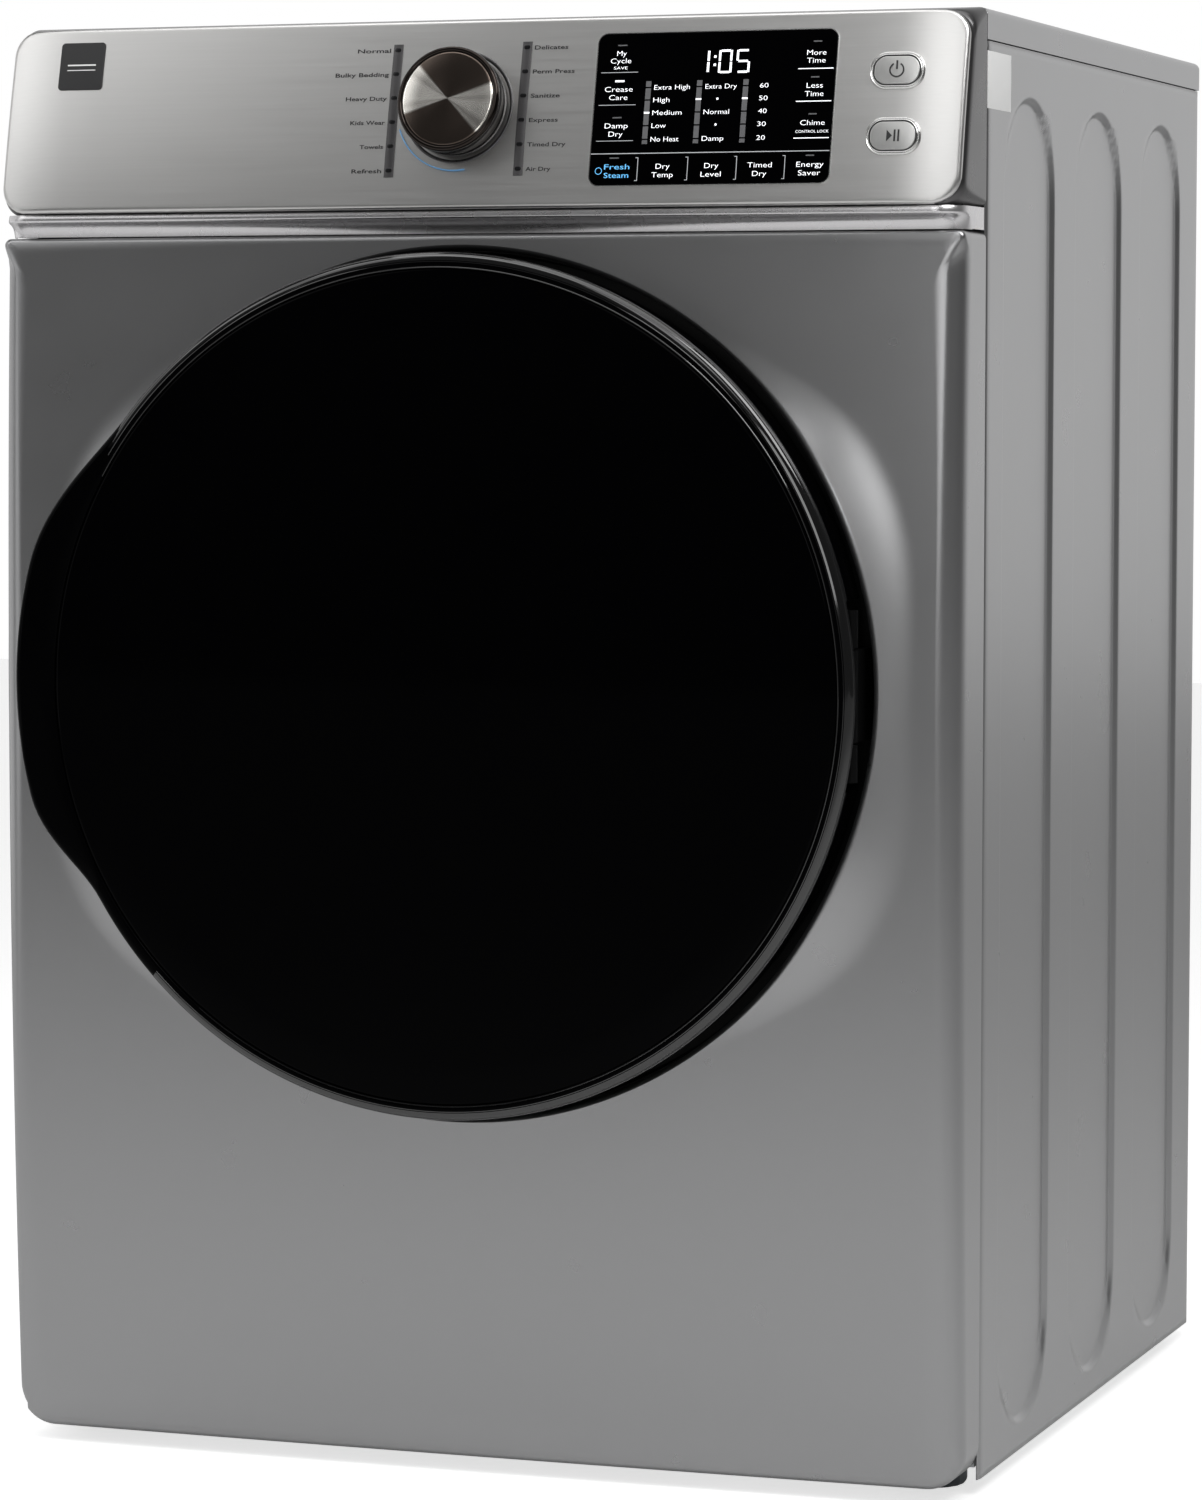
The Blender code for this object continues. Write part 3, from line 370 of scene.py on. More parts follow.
def patches(name, boxes, low, high, mat):
    """Many small flat marks on the console face as one piece: (x0, x1, s0, s1) each, in millimetres."""
    verts = []
    faces = []
    for box in boxes:
        x0, x1, s0, s1 = [v * 0.001 for v in box]
        n = len(verts)
        for h in (low, high):
            verts += [on_face(x0, s0, h), on_face(x1, s0, h), on_face(x1, s1, h), on_face(x0, s1, h)]
        faces += [(n, n + 3, n + 2, n + 1), (n + 4, n + 5, n + 6, n + 7)]
        faces += [(n + i, n + (i + 1) % 4, n + 4 + (i + 1) % 4, n + 4 + i) for i in range(4)]
    piece(name, verts, faces, mat, smooth=False)


def glyphs(text, weight=0.0):
    """Outline of a word in the built-in typeface, one unit tall letters, as verts and faces."""
    curve = bpy.data.curves.new("word", "FONT")
    curve.body = text
    curve.extrude = 0.008
    curve.offset = weight
    curve.resolution_u = 3
    ob = bpy.data.objects.new("word", curve)
    bpy.context.scene.collection.objects.link(ob)
    bpy.context.view_layer.update()
    mesh = bpy.data.meshes.new_from_object(ob.evaluated_get(bpy.context.evaluated_depsgraph_get()))
    bm = bmesh.new()
    bm.from_mesh(mesh)
    bmesh.ops.remove_doubles(bm, verts=bm.verts, dist=0.0005)
    verts = [v.co.copy() for v in bm.verts]
    faces = [tuple(v.index for v in f.verts) for f in bm.faces]
    bm.free()
    bpy.data.objects.remove(ob, do_unlink=True)
    bpy.data.meshes.remove(mesh)
    return verts, faces


def words(name, rows, level, mat, weight=0.0):
    """Generic function words on the console face: (text, left, right, centre height, cap height) in millimetres."""
    cap_unit = max(v.y for v in glyphs("H")[0])
    verts = []
    faces = []
    for text, left, right, s, cap in rows:
        vs, fs = glyphs(text, weight)
        lo = min(v.x for v in vs)
        hi = max(v.x for v in vs)
        n = len(verts)
        for v in vs:
            x = left + (v.x - lo) / (hi - lo) * (right - left)
            up = s - cap / 2.0 + v.y / cap_unit * cap
            verts.append(on_face(x * 0.001, up * 0.001, level + 0.00006 + v.z * 0.006))
        faces += [tuple(n + i for i in f) for f in fs]
    piece(name, verts, faces, mat, smooth=False)


def rbox(name, lo, hi, r, mat, body="cabinet", replaces=()):
    """Box with rounded edges."""
    bm = bmesh.new()
    bmesh.ops.create_cube(bm, size=1.0)
    size = Vector(hi) - Vector(lo)
    mid = (Vector(hi) + Vector(lo)) / 2.0
    for v in bm.verts:
        v.co = Vector((v.co.x * size.x, v.co.y * size.y, v.co.z * size.z)) + mid
    bmesh.ops.bevel(bm, geom=list(bm.edges), offset=r, segments=3, profile=0.5, affect="EDGES")
    verts = [v.co.copy() for v in bm.verts]
    faces = [tuple(v.index for v in f.verts) for f in bm.faces]
    bm.free()
    return piece(name, verts, faces, mat, body, replaces, sharp=40.0)


def cut(ob, tools):
    """Boolean difference, applied in place; the tools are taken away."""
    for tool in tools:
        mod = ob.modifiers.new("cut", "BOOLEAN")
        mod.operation = "DIFFERENCE"
        mod.solver = "EXACT"
        mod.object = tool
        bpy.context.view_layer.update()
        graph = bpy.context.evaluated_depsgraph_get()
        mesh = bpy.data.meshes.new_from_object(ob.evaluated_get(graph))
        ob.modifiers.clear()
        mats = list(ob.data.materials)
        ob.data = mesh
        mesh.materials.clear()
        mesh.materials.append(mats[0])
        bpy.data.objects.remove(tool, do_unlink=True)
    for poly in ob.data.polygons:
        poly.use_smooth = True
    ob.data.set_sharp_from_angle(angle=radians(32.0))


# ---- front panel --------------------------------------------------------------------
def edge_depth(z):
    if z < 0.5:
        return 0.060 - 0.016 * ((0.5 - z) / 0.49) ** 2
    return 0.060 - 0.008 * ((z - 0.5) / 0.34) ** 2


def face_depth(x, z):
    return -(edge_depth(z) + 0.004 * (1.0 - (x / HALF_W) ** 2))


def reach_to_edge(angle):
    """Distance from the door centre to the rounded outline of the front panel."""
    dx = cos(angle)
    dz = sin(angle)
    low = 0.0
    high = 0.9
    for _ in range(44):
        mid = (low + high) / 2.0
        x = DOOR_X + mid * dx
        z = DOOR_Z + mid * dz
        r = 0.026 if z < DOOR_Z else 0.005
        qx = max(abs(x) - (HALF_W - r), 0.0)
        qz = max(z - (PANEL_Z1 - r), (PANEL_Z0 + r) - z, 0.0)
        if hypot(qx, qz) <= r and abs(x) < HALF_W and PANEL_Z0 < z < PANEL_Z1:
            low = mid
        else:
            high = mid
    return low


def quarter(steps):
    """Angles of a quarter turn."""
    return [pi / 2.0 * k / steps for k in range(steps + 1)]


def smooth_step(t):
    t = min(max(t, 0.0), 1.0)
    return t * t * (3.0 - 2.0 * t)


def front_angles():
    """Angles round the door, closer together towards the corners of the panel."""
    turn = tau
    angles = [turn * k / 360 for k in range(360)]
    for x, z, spread in ((HALF_W, PANEL_Z1, 0.02), (-HALF_W, PANEL_Z1, 0.02), (-HALF_W, PANEL_Z0, 0.06),
                         (HALF_W, PANEL_Z0, 0.06)):
        corner = atan2(z - DOOR_Z, x - DOOR_X) % turn
        angles += [(corner + spread * i / 12.0) % turn for i in range(-12, 13)]
    angles.sort()
    kept = [angles[0]]
    for a in angles[1:]:
        if a - kept[-1] > 0.0012:
            kept.append(a)
    return kept


def front_panel():
    rings = None
    for a in front_angles():
        reach = reach_to_edge(a)
        ca, sa = cos(a), sin(a)
        def face(r):
            return face_depth(DOOR_X + r * ca, DOOR_Z + r * sa)
        room = reach - 0.2912
        roll = min(0.0155, 0.33 * room)
        roll = min(roll, 0.0155 - 0.0117 * smooth_step((reach * sa - (PANEL_Z1 - DOOR_Z - 0.016)) / 0.014))
        if sa < 0.0 and DOOR_Z + reach * sa < PANEL_Z0 + 0.010:
            roll = min(roll, 0.010)
        far = reach - roll
        side = abs(math.degrees(asin(min(abs(sa), 1.0))))
        if side < 28.0:
            dish = 0.55 + 0.45 * smooth_step(side / 26.0)
        else:
            dish = 1.0 - 0.97 * smooth_step((side - 28.0) / 28.0)
        spread = 0.022 + 0.016 * max(ca, 0.0)
        outer = min(0.2945 + 0.004 + spread * dish, far)
        deep = -(outer - 0.2945) * 0.165 * dish
        path = [(OPEN_R, -0.004), (OPEN_R, -0.0215), (OPEN_R + 0.0006, -0.0220), (0.2885, -0.022), (0.2905, -0.0240)]
        lip = face(0.2945) + deep
        path += [(0.2912, -0.0300), (0.2912, lip + 0.0060)]
        path += [(0.2914, lip + 0.0038), (0.2920, lip + 0.0020), (0.2931, lip + 0.0007)]
        for k in range(15):
            r = 0.2945 + (outer - 0.2945) * k / 14.0
            t = (outer - r) / max(outer - 0.2945, 1e-6)
            path.append((r, face(r) + deep * t * t * (1.5 - 0.5 * t)))
        for k in range(1, 11):
            r = outer + (far - outer) * k / 10.0 + 1e-6 * k
            path.append((r, face(r)))
        edge = face(reach)
        for t in quarter(7)[1:]:
            path.append((far + roll * sin(t), edge + roll * (1.0 - cos(t))))
        path += [(reach, edge * 0.66), (reach, edge * 0.33), (reach, -0.0006)]
        back = []
        n = len(path)
        for k in range(n):
            p = path[max(k - 1, 0)]
            q = path[min(k + 1, n - 1)]
            dx, dy = q[0] - p[0], q[1] - p[1]
            length = max(hypot(dx, dy), 1e-9)
            back.append((path[k][0] - 0.0010 * dy / length, path[k][1] + 0.0010 * dx / length))
        loop = path + back[::-1]
        if rings is None:
            rings = [[] for _ in loop]
        for k, (r, y) in enumerate(loop):
            rings[k].append(at(DOOR_X + r * ca, y, DOOR_Z + r * sa))
    verts, faces = strips(rings, loop=True)
    piece("front_skin", verts, faces, PAINT, replaces=("front_panel",), sharp=50.0)
    # black ring over the outer floor and wall of the recess round the door: painted shade in the gap under the door rim
    ring = [(0.2640, -0.0222), (0.2880, -0.0222), (0.2902, -0.0244), (0.2908, -0.0300), (0.2908, -0.0440),
            (0.2900, -0.0440), (0.2900, -0.0305), (0.2894, -0.0254), (0.2876, -0.0232), (0.2640, -0.0232)]
    turned("recess_shade_ring", ring, 240, along_y(DOOR_X, 0.0, DOOR_Z), SHADE_BLACK, sharp=50.0)


# ---- side panels, worktop, rear -----------------------------------------------------
RIBS = ((0.044, 0.180), (0.237, 0.373), (0.429, 0.559))


def rib_depth(y, z):
    """Depth of the pressed ovals: 0 outside, full inside, with a soft slope between."""
    best = 0.0
    for y0, y1 in RIBS:
        r = (y1 - y0) / 2.0
        cy = (y0 + y1) / 2.0
        cz = min(max(z, 0.028 + r), 0.932 - r)
        d = r - hypot(y - cy, z - cz)
        best = max(best, smooth_step(d / 0.0062))
    return 0.0030 * best


def graded(lo, hi, step, marks):
    """Sample positions with extra density round the marks."""
    out = set()
    n = int(round((hi - lo) / step))
    for k in range(n + 1):
        out.add(round(lo + (hi - lo) * k / n, 6))
    for m in marks:
        for i in range(0, 11):
            v = m + (i - 1) * 0.00095
            if lo < v < hi:
                out.add(round(v, 6))
    return sorted(out)


def side_panel(name, sign, node):
    marks = []
    for y0, y1 in RIBS:
        marks += [y0, y1 - 0.0086]
    ys = graded(GAP, BACK, 0.0058, marks)
    zs = graded(0.0105, TOP_Z - 0.0006, 0.0058, (0.028, 0.932 - 0.0086))
    front = []
    for z in zs:
        row = []
        for y in ys:
            edge = min(y - GAP, BACK - y)
            curl = 0.0012 * max(0.0, 1.0 - edge / 0.0025) ** 2
            row.append(at(sign * (HALF_W - rib_depth(y, z) - curl), y, z))
        front.append(row)
    verts = [p for row in front for p in row]
    faces = grid_faces(len(zs), len(ys))
    ob = piece(name, verts, faces, PAINT, replaces=(node,), sharp=60.0)
    thick = ob.modifiers.new("sheet", "SOLIDIFY")
    thick.thickness = 0.0009
    thick.offset = -1.0


def worktop():
    r = 0.0050
    front = 0.0006
    profile = [(front, TOP_Z + GAP)]
    profile += [(front + r * (1 - cos(t)), HEIGHT - r + r * sin(t)) for t in quarter(8)]
    profile += [(BACK - r + r * sin(t), HEIGHT - r + r * cos(t)) for t in quarter(8)]
    profile.append((BACK, TOP_Z + GAP))
    rings = []
    for sign in (-1.0, 1.0):
        for t in quarter(8)[::int(-sign)]:
            x = sign * (HALF_W - r + r * cos(t))
            drop = r * (1.0 - sin(t))
            rings.append([at(x, min(max(y, front), BACK), min(z, HEIGHT - drop)) for y, z in profile])
    for end, spot in ((0, 0), (-1, len(rings) + 1)):
        rings.insert(spot, [Vector((p.x, p.y, min(p.z, HEIGHT - r - 0.0012))) for p in rings[end]])
    verts, faces = strips(rings, around=False, ends="cap")
    piece("worktop_skin", verts, faces, PAINT, replaces=("worktop",), sharp=60.0)


def console():
    # housing behind the silver face: follows its outline in front and the cabinet's behind
    def front(half, low, high, r, h):
        pts = rounded(0.0, (low + high) / 2.0, 2.0 * half, high - low, r, 12)
        return [on_face(x, t, h) for x, t in pts]
    rings = [front(0.3330, 0.0050, 0.1220, 0.0130, -0.0036), front(0.3380, 0.0000, 0.1275, 0.0180, -0.0036),
             front(0.3402, -0.0010, 0.1284, 0.0186, -0.0042), front(0.3418, -0.0018, 0.1288, 0.0190, -0.0056),
             front(0.3426, -0.0024, 0.1288, 0.0190, -0.0080)]
    rear_pts = rounded(0.0, (FACE_Z - 0.0030 + HEIGHT) / 2.0, 2.0 * HALF_W, HEIGHT - FACE_Z + 0.0030, 0.0050, 12)
    back = [at(x, -0.0006, z) for x, z in rear_pts]
    start = rings[-1]
    for share in (0.06, 0.2, 0.4, 0.6, 0.8, 0.93):
        ease = share ** 0.6
        ring = []
        for f, g in zip(start, back):
            ring.append(Vector((f.x + (g.x - f.x) * ease, f.y + (g.y - f.y) * share, f.z + (g.z - f.z) * ease)))
        rings.append(ring)
    rings.append(back)
    verts, faces = strips(rings, ends="cap")
    housing = piece("console_housing", verts, faces, SHELL, replaces=("console_fascia",), sharp=40.0)
    hollow = rbox("tool_h", at(-0.325, -0.0380, 0.866), at(0.325, 0.05, 0.970), 0.002, SHELL, body=None)
    cut(housing, [hollow])
    # brushed silver face plate with soft edges, wider radii at its lower corners
    half, low, high = 0.3410, -0.0015, 0.1277
    near = (0.0, 0.00012, 0.0003, 0.0006, 0.0010, 0.0015, 0.0021, 0.0030, 0.0055, 0.0085, 0.0120, 0.0170,
            0.0240, 0.0330, 0.0450)
    xs = [-half + d for d in near] + [-half + 0.045 + (2 * half - 0.09) * k / 24 for k in range(1, 24)]
    xs += [half - d for d in near[::-1]]
    def reach(x, r):
        d = half - abs(x)
        return 0.0 if d >= r else r - sqrt(max(r * r - (r - d) ** 2, 0.0))
    cols = []
    for x in xs:
        s0 = low + reach(x, 0.0200)
        s1 = high - reach(x, 0.0170)
        mid = (s0 + s1) / 2.0
        edge = [d for d in near if d < 0.030]
        col = [s0 + d for d in edge] + [s0 + 0.024 + (s1 - s0 - 0.048) * k / 8 for k in range(1, 8)]
        col += [s1 - d for d in edge[::-1]]
        cols.append([(x, s) for s in col])
    def depth_in(x, s):
        r = 0.0200 if s < 0.06 else 0.0170
        qx = abs(x) - (half - r)
        qs = (low + r) - s if s < 0.06 else s - (high - r)
        if qx > 0.0 and qs > 0.0:
            return r - hypot(qx, qs)
        return min(half - abs(x), s - low, high - s)
    roll = 0.0024
    n = len(cols[0])
    verts = []
    for col in cols:
        for x, s in col:
            d = min(max(depth_in(x, s), 0.0), roll)
            verts.append(on_face(x, s, -0.0022 * (1.0 - sqrt(max(1.0 - (1.0 - d / roll) ** 2, 0.0)))))
    m = len(verts)
    faces = grid_faces(len(cols), n)
    border = [i for i in range(n)] + [k * n + n - 1 for k in range(1, len(cols))]
    border += [(len(cols) - 1) * n + i for i in range(n - 2, -1, -1)] + [k * n for k in range(len(cols) - 2, 0, -1)]
    for i in border:
        verts.append(verts[i] - FACE_OUT * 0.0016)
    for i in range(len(border)):
        j = (i + 1) % len(border)
        faces.append((border[i], border[j], m + j, m + i))
    faces.append(tuple(m + i for i in range(len(border))))
    face = piece("console_face", verts, faces, BRUSHED, sharp=40.0)
    def openings(shaft, shaft_low, key_low):
        """Cutters for the knob's shaft and the two keys."""
        hole = [(0, shaft_low), (shaft, shaft_low), (shaft, 0.02), (0, 0.02)]
        keys = [pillow("tool_b", KEY_X, s, 0.0326, 0.0210, 0.0085, key_low, 0.012, 0.0005, SHELL, body=None)
                for s in KEY_S]
        return keys, [turned("tool_k", hole, 32, face_pose(*KNOB), SHELL, body=None)]
    keys, shaft = openings(0.0056, -0.02, -0.012)
    cut(face, shaft + keys)
    keys, shaft = openings(0.0060, -0.03, -0.03)
    cut(housing, keys + shaft)
    # cove under the console
    profile = [(-0.0590, FACE_Z - 0.0034), (-0.0594, FACE_Z - 0.0042), (-0.0605, 0.8500), (-0.0602, 0.8490)]
    profile += [(-0.0590, 0.8481), (-0.0564, 0.8471), (-0.0540, 0.8456), (-0.0522, 0.8432), (-0.0512, 0.8404)]
    profile += [(-0.0508, 0.8385)]
    profile += [(-0.0508, PANEL_Z1 + 0.0012), (-0.0020, PANEL_Z1 + 0.0012), (-0.0020, FACE_Z - 0.0034)]
    rings = []
    rr = 0.020
    secs = [(HALF_W - 0.0010 - rr + rr * cos(t), rr * (1.0 - sin(t))) for t in quarter(8)]
    for x, d in [(-x, d) for x, d in secs] + [(x, d) for x, d in secs[::-1]]:
        rings.append([at(x, y + (d if y < -0.01 else 0.0), z) for y, z in profile])
    verts, faces = strips(rings, ends="cap")
    piece("cove_trim", verts, faces, COVE, replaces=("console_cove",), sharp=50.0)


def display():
    pillow("display_panel", *DISPLAY, DISPLAY_W, DISPLAY_H, 0.0065, -0.0022, 0.0016, 0.0005, DOOR_GLASS,
           slot="black_glass", replaces=("display_glass",))
    # thin bright edge round the glass
    rings = []
    for grow, h in ((0.0, -0.0020), (0.0, 0.0012), (0.0005, 0.0012), (0.0008, -0.0020)):
        pts = rounded(*DISPLAY, DISPLAY_W + 2 * grow + 0.0002, DISPLAY_H + 2 * grow + 0.0002, 0.0066 + grow, 10)
        rings.append([on_face(x, s, h) for x, s in pts])
    verts, faces = strips(rings, loop=True)
    piece("display_edge", verts, faces, CHROME, sharp=40.0)
    low, high = 0.0015, 0.00172
    def digit(x, s, w, h, t, on):
        half = h / 2.0
        g = 0.3 * t
        segs = {"a": (x + t, x + w - t, s + h - t, s + h), "g": (x + t, x + w - t, s + half - t / 2, s + half + t / 2),
                "d": (x + t, x + w - t, s, s + t), "f": (x, x + t, s + half + g, s + h - g),
                "b": (x + w - t, x + w, s + half + g, s + h - g), "e": (x, x + t, s + g, s + half - g),
                "c": (x + w - t, x + w, s + g, s + half - g)}
        return [segs[c] for c in on]
    lit = digit(156.0, 86.9, 11.3, 15.2, 1.5, "bc") + digit(173.6, 86.3, 9.2, 16.0, 1.4, "abcdef")
    lit += digit(185.8, 86.3, 9.3, 16.0, 1.4, "afgcd")
    lit += [(170.2, 171.8, s, s + 1.6) for s in (91.3, 96.9)]
    lit += [(102.8, 109.2, 81.6, 82.8), (124.5, 128.2, 59.8, 61.0), (159.7, 163.5, 68.4, 69.6),
            (191.6, 195.4, 68.4, 69.6), (174.0, 175.3, 68.4, 69.7), (174.0, 175.3, 51.0, 52.3)]
    patches("display_lit", lit, low, high, LIT)
    rows = (77.5, 69.0, 60.3, 51.6, 42.4)
    bars = []
    for x in (126.3, 161.6, 193.5):
        edges = [81.8] + [r + d for r in rows for d in (0.5, -0.5)] + [39.3]
        for top, bottom in zip(edges[0::2], edges[1::2]):
            bars.append((x - 1.8, x + 1.8, bottom, top))
    bars += [(102.8, 109.2, s, s + 0.8) for s in (106.3, 57.0, 29.7)]
    bars += [(237.8, 243.4, s, s + 0.8) for s in (106.3, 82.1, 57.3, 29.7)]
    patches("display_scales", bars, low, high, SOFT)
    dim = [(92.5, 118.2, s, s + 0.35) for s in (88.0, 65.8, 41.5)]
    dim += [(89.6, 253.6, 32.8, 33.3)]
    for x in (122.4, 157.0, 190.6, 223.6):
        dim += [(x, x + 0.4, 14.6, 30.3), (x - 1.5, x, 29.9, 30.3), (x - 1.5, x, 14.6, 15.0)]
    patches("display_lines", dim, low, high, DIM)
    patches("display_rules", [(228.6, 252.6, s, s + 0.5) for s in (88.0, 66.0, 41.4)], low, high, LIT)
    left = [("My", 102.6, 109.2, 101.2, 3.4), ("Cycle", 98.6, 112.8, 96.1, 3.4), ("SAVE", 101.2, 110.6, 91.2, 1.9)]
    left += [("Crease", 96.0, 115.4, 76.7, 3.4), ("Care", 99.4, 112.2, 71.1, 3.4), ("Damp", 97.8, 113.8, 51.9, 3.4),
             ("Dry", 100.9, 110.6, 46.3, 3.4)]
    mid = [("Extra High", 130.4, 155.0, rows[0], 3.2), ("High", 130.4, 141.6, rows[1], 3.2),
           ("Medium", 130.4, 150.6, rows[2], 3.2), ("Low", 130.4, 140.3, rows[3], 3.2),
           ("No Heat", 130.4, 149.7, rows[4], 3.2), ("Extra Dry", 165.8, 187.4, rows[0], 3.2),
           ("Normal", 165.8, 183.3, rows[2], 3.2), ("Damp", 165.8, 180.7, rows[4], 3.2)]
    for text, s in zip(("60", "50", "40", "30", "20"), rows):
        mid.append((text, 203.3, 209.1, s, 3.1))
    right = [("More", 233.9, 247.0, 99.1, 3.4), ("Time", 234.2, 246.8, 93.8, 3.4), ("Less", 235.2, 246.2, 76.9, 3.4),
             ("Time", 234.4, 247.0, 71.3, 3.4), ("Chime", 232.6, 249.2, 51.9, 3.4),
             ("CONTROL LOCK", 229.6, 252.2, 46.0, 1.8)]
    low_row = [("Dry", 135.2, 144.8, 24.2, 3.4), ("Temp", 132.6, 147.4, 18.5, 3.4), ("Dry", 168.8, 178.4, 24.2, 3.4),
               ("Level", 166.6, 180.4, 18.5, 3.4), ("Timed", 198.4, 215.0, 24.2, 3.4), ("Dry", 202.0, 211.6, 18.5, 3.4),
               ("Energy", 231.8, 250.2, 24.2, 3.4), ("Saver", 233.2, 248.4, 18.5, 3.4)]
    words("display_words", left + mid + right + low_row, high - 0.00012, LIT, weight=-0.010)
    blue = [("Fresh", 99.4, 117.0, 24.2, 3.4), ("Steam", 99.4, 116.6, 18.5, 3.4)]
    words("display_blue_words", blue, high - 0.00012, SKY)
    ring = [(0.0020, 0.0014), (0.0024, 0.0014), (0.0024, 0.0016), (0.0020, 0.0016)]
    turned("display_blue_ring", ring, 32, face_pose(0.0957, 0.0214, 0.0), SKY, sharp=60.0)


def light_bars():
    for cx, node in zip(BAR_X, ("led_bar_left", "led_bar_right")):
        rings = []
        for k in range(25):
            t = 0.0654 + 0.0915 * (k / 24.0 - 0.5)
            rings.append([on_face(cx + dx, t, h) for dx, h in ((-0.0033, -0.0002), (0.0033, -0.0002), (0.0033, 0.0005),
                                                               (0.0031, 0.0006), (-0.0031, 0.0006), (-0.0033, 0.0005))])
        verts, faces = strips(rings, ends="cap")
        piece(node + "_strip", verts, faces, BAR, replaces=(node,), sharp=60.0)
        for k in range(6):
            pillow("%s_window_%d" % (node, k + 1), cx, 0.1073 - BAR_STEP * k, 0.0044, 0.0026, 0.0012, 0.0006,
                   0.0010, 0.0002, WINDOW, steps=4)
    left = (("Normal", 24.0), ("Bulky Bedding", 38.6), ("Heavy Duty", 29.6), ("Kids Wear", 25.0), ("Towels", 17.0),
            ("Refresh", 21.5))
    right = (("Delicates", 23.6), ("Perm Press", 29.5), ("Sanitize", 20.4), ("Express", 20.4), ("Timed Dry", 27.0),
             ("Air Dry", 17.6))
    rows = []
    for k in range(6):
        s = 107.1 - 1000.0 * BAR_STEP * k
        rows.append((left[k][0], -59.2 - left[k][1], -59.2, s, 2.7))
        rows.append((right[k][0], 43.6, 43.6 + right[k][1], s, 2.7))
    words("cycle_words", rows, 0.0001, INK, weight=0.012)


def knob():
    pose = face_pose(*KNOB)
    body = [(0, -0.0220), (0.0045, -0.0220), (0.0045, 0.0018), (0.0336, 0.0018), (0.0346, 0.0022), (0.0352, 0.0034)]
    body += [(0.0351, 0.0100), (0.0350, 0.0172), (0.0353, 0.0180), (0.0358, 0.0186), (0.0360, 0.0196)]
    body += [(0.0359, 0.0207), (0.0353, 0.0218), (0.0344, 0.0224), (0.0334, 0.0224), (0.0327, 0.0219)]
    body += [(0.0325, 0.0212), (0, 0.0206)]
    turned("knob_body", body, 128, pose, BRONZE, body="knob",
           replaces=("control_knob",), sharp=50.0)
    # cap in turned metal; its light and bronze sectors are painted highlights and shade that turn with the knob
    cap = [(0, 0.0207), (0.0322, 0.0207), (0.0322, 0.0213), (0.0316, 0.0219), (0.0306, 0.0221), (0.0200, 0.0222),
           (0.0100, 0.0223), (0.0030, 0.0224), (0, 0.0224)]
    turned("knob_spun_cap", cap, 160, pose, SPUN_PAINTED_HIGHLIGHTS, body="knob", replaces=("knob_cap",), sharp=60.0)
    base = [(0.0362, 0.0000), (0.0384, 0.0000), (0.0386, 0.0003), (0.0383, 0.0005), (0.0378, 0.0006), (0.0368, 0.0006)]
    turned("knob_base_ring", base, 128, pose, SHELL, replaces=("knob_ring",), sharp=60.0)
    glow = [(0.0431, 0.0003), (0.0439, 0.0003), (0.0439, 0.0008), (0.0431, 0.0010)]
    arc("knob_glow", glow, 200.0, 280.0, 40, pose, RING)


def key_pose(s):
    return face_pose(KEY_X, s, 0.0017 - face_bow(KEY_X, s))


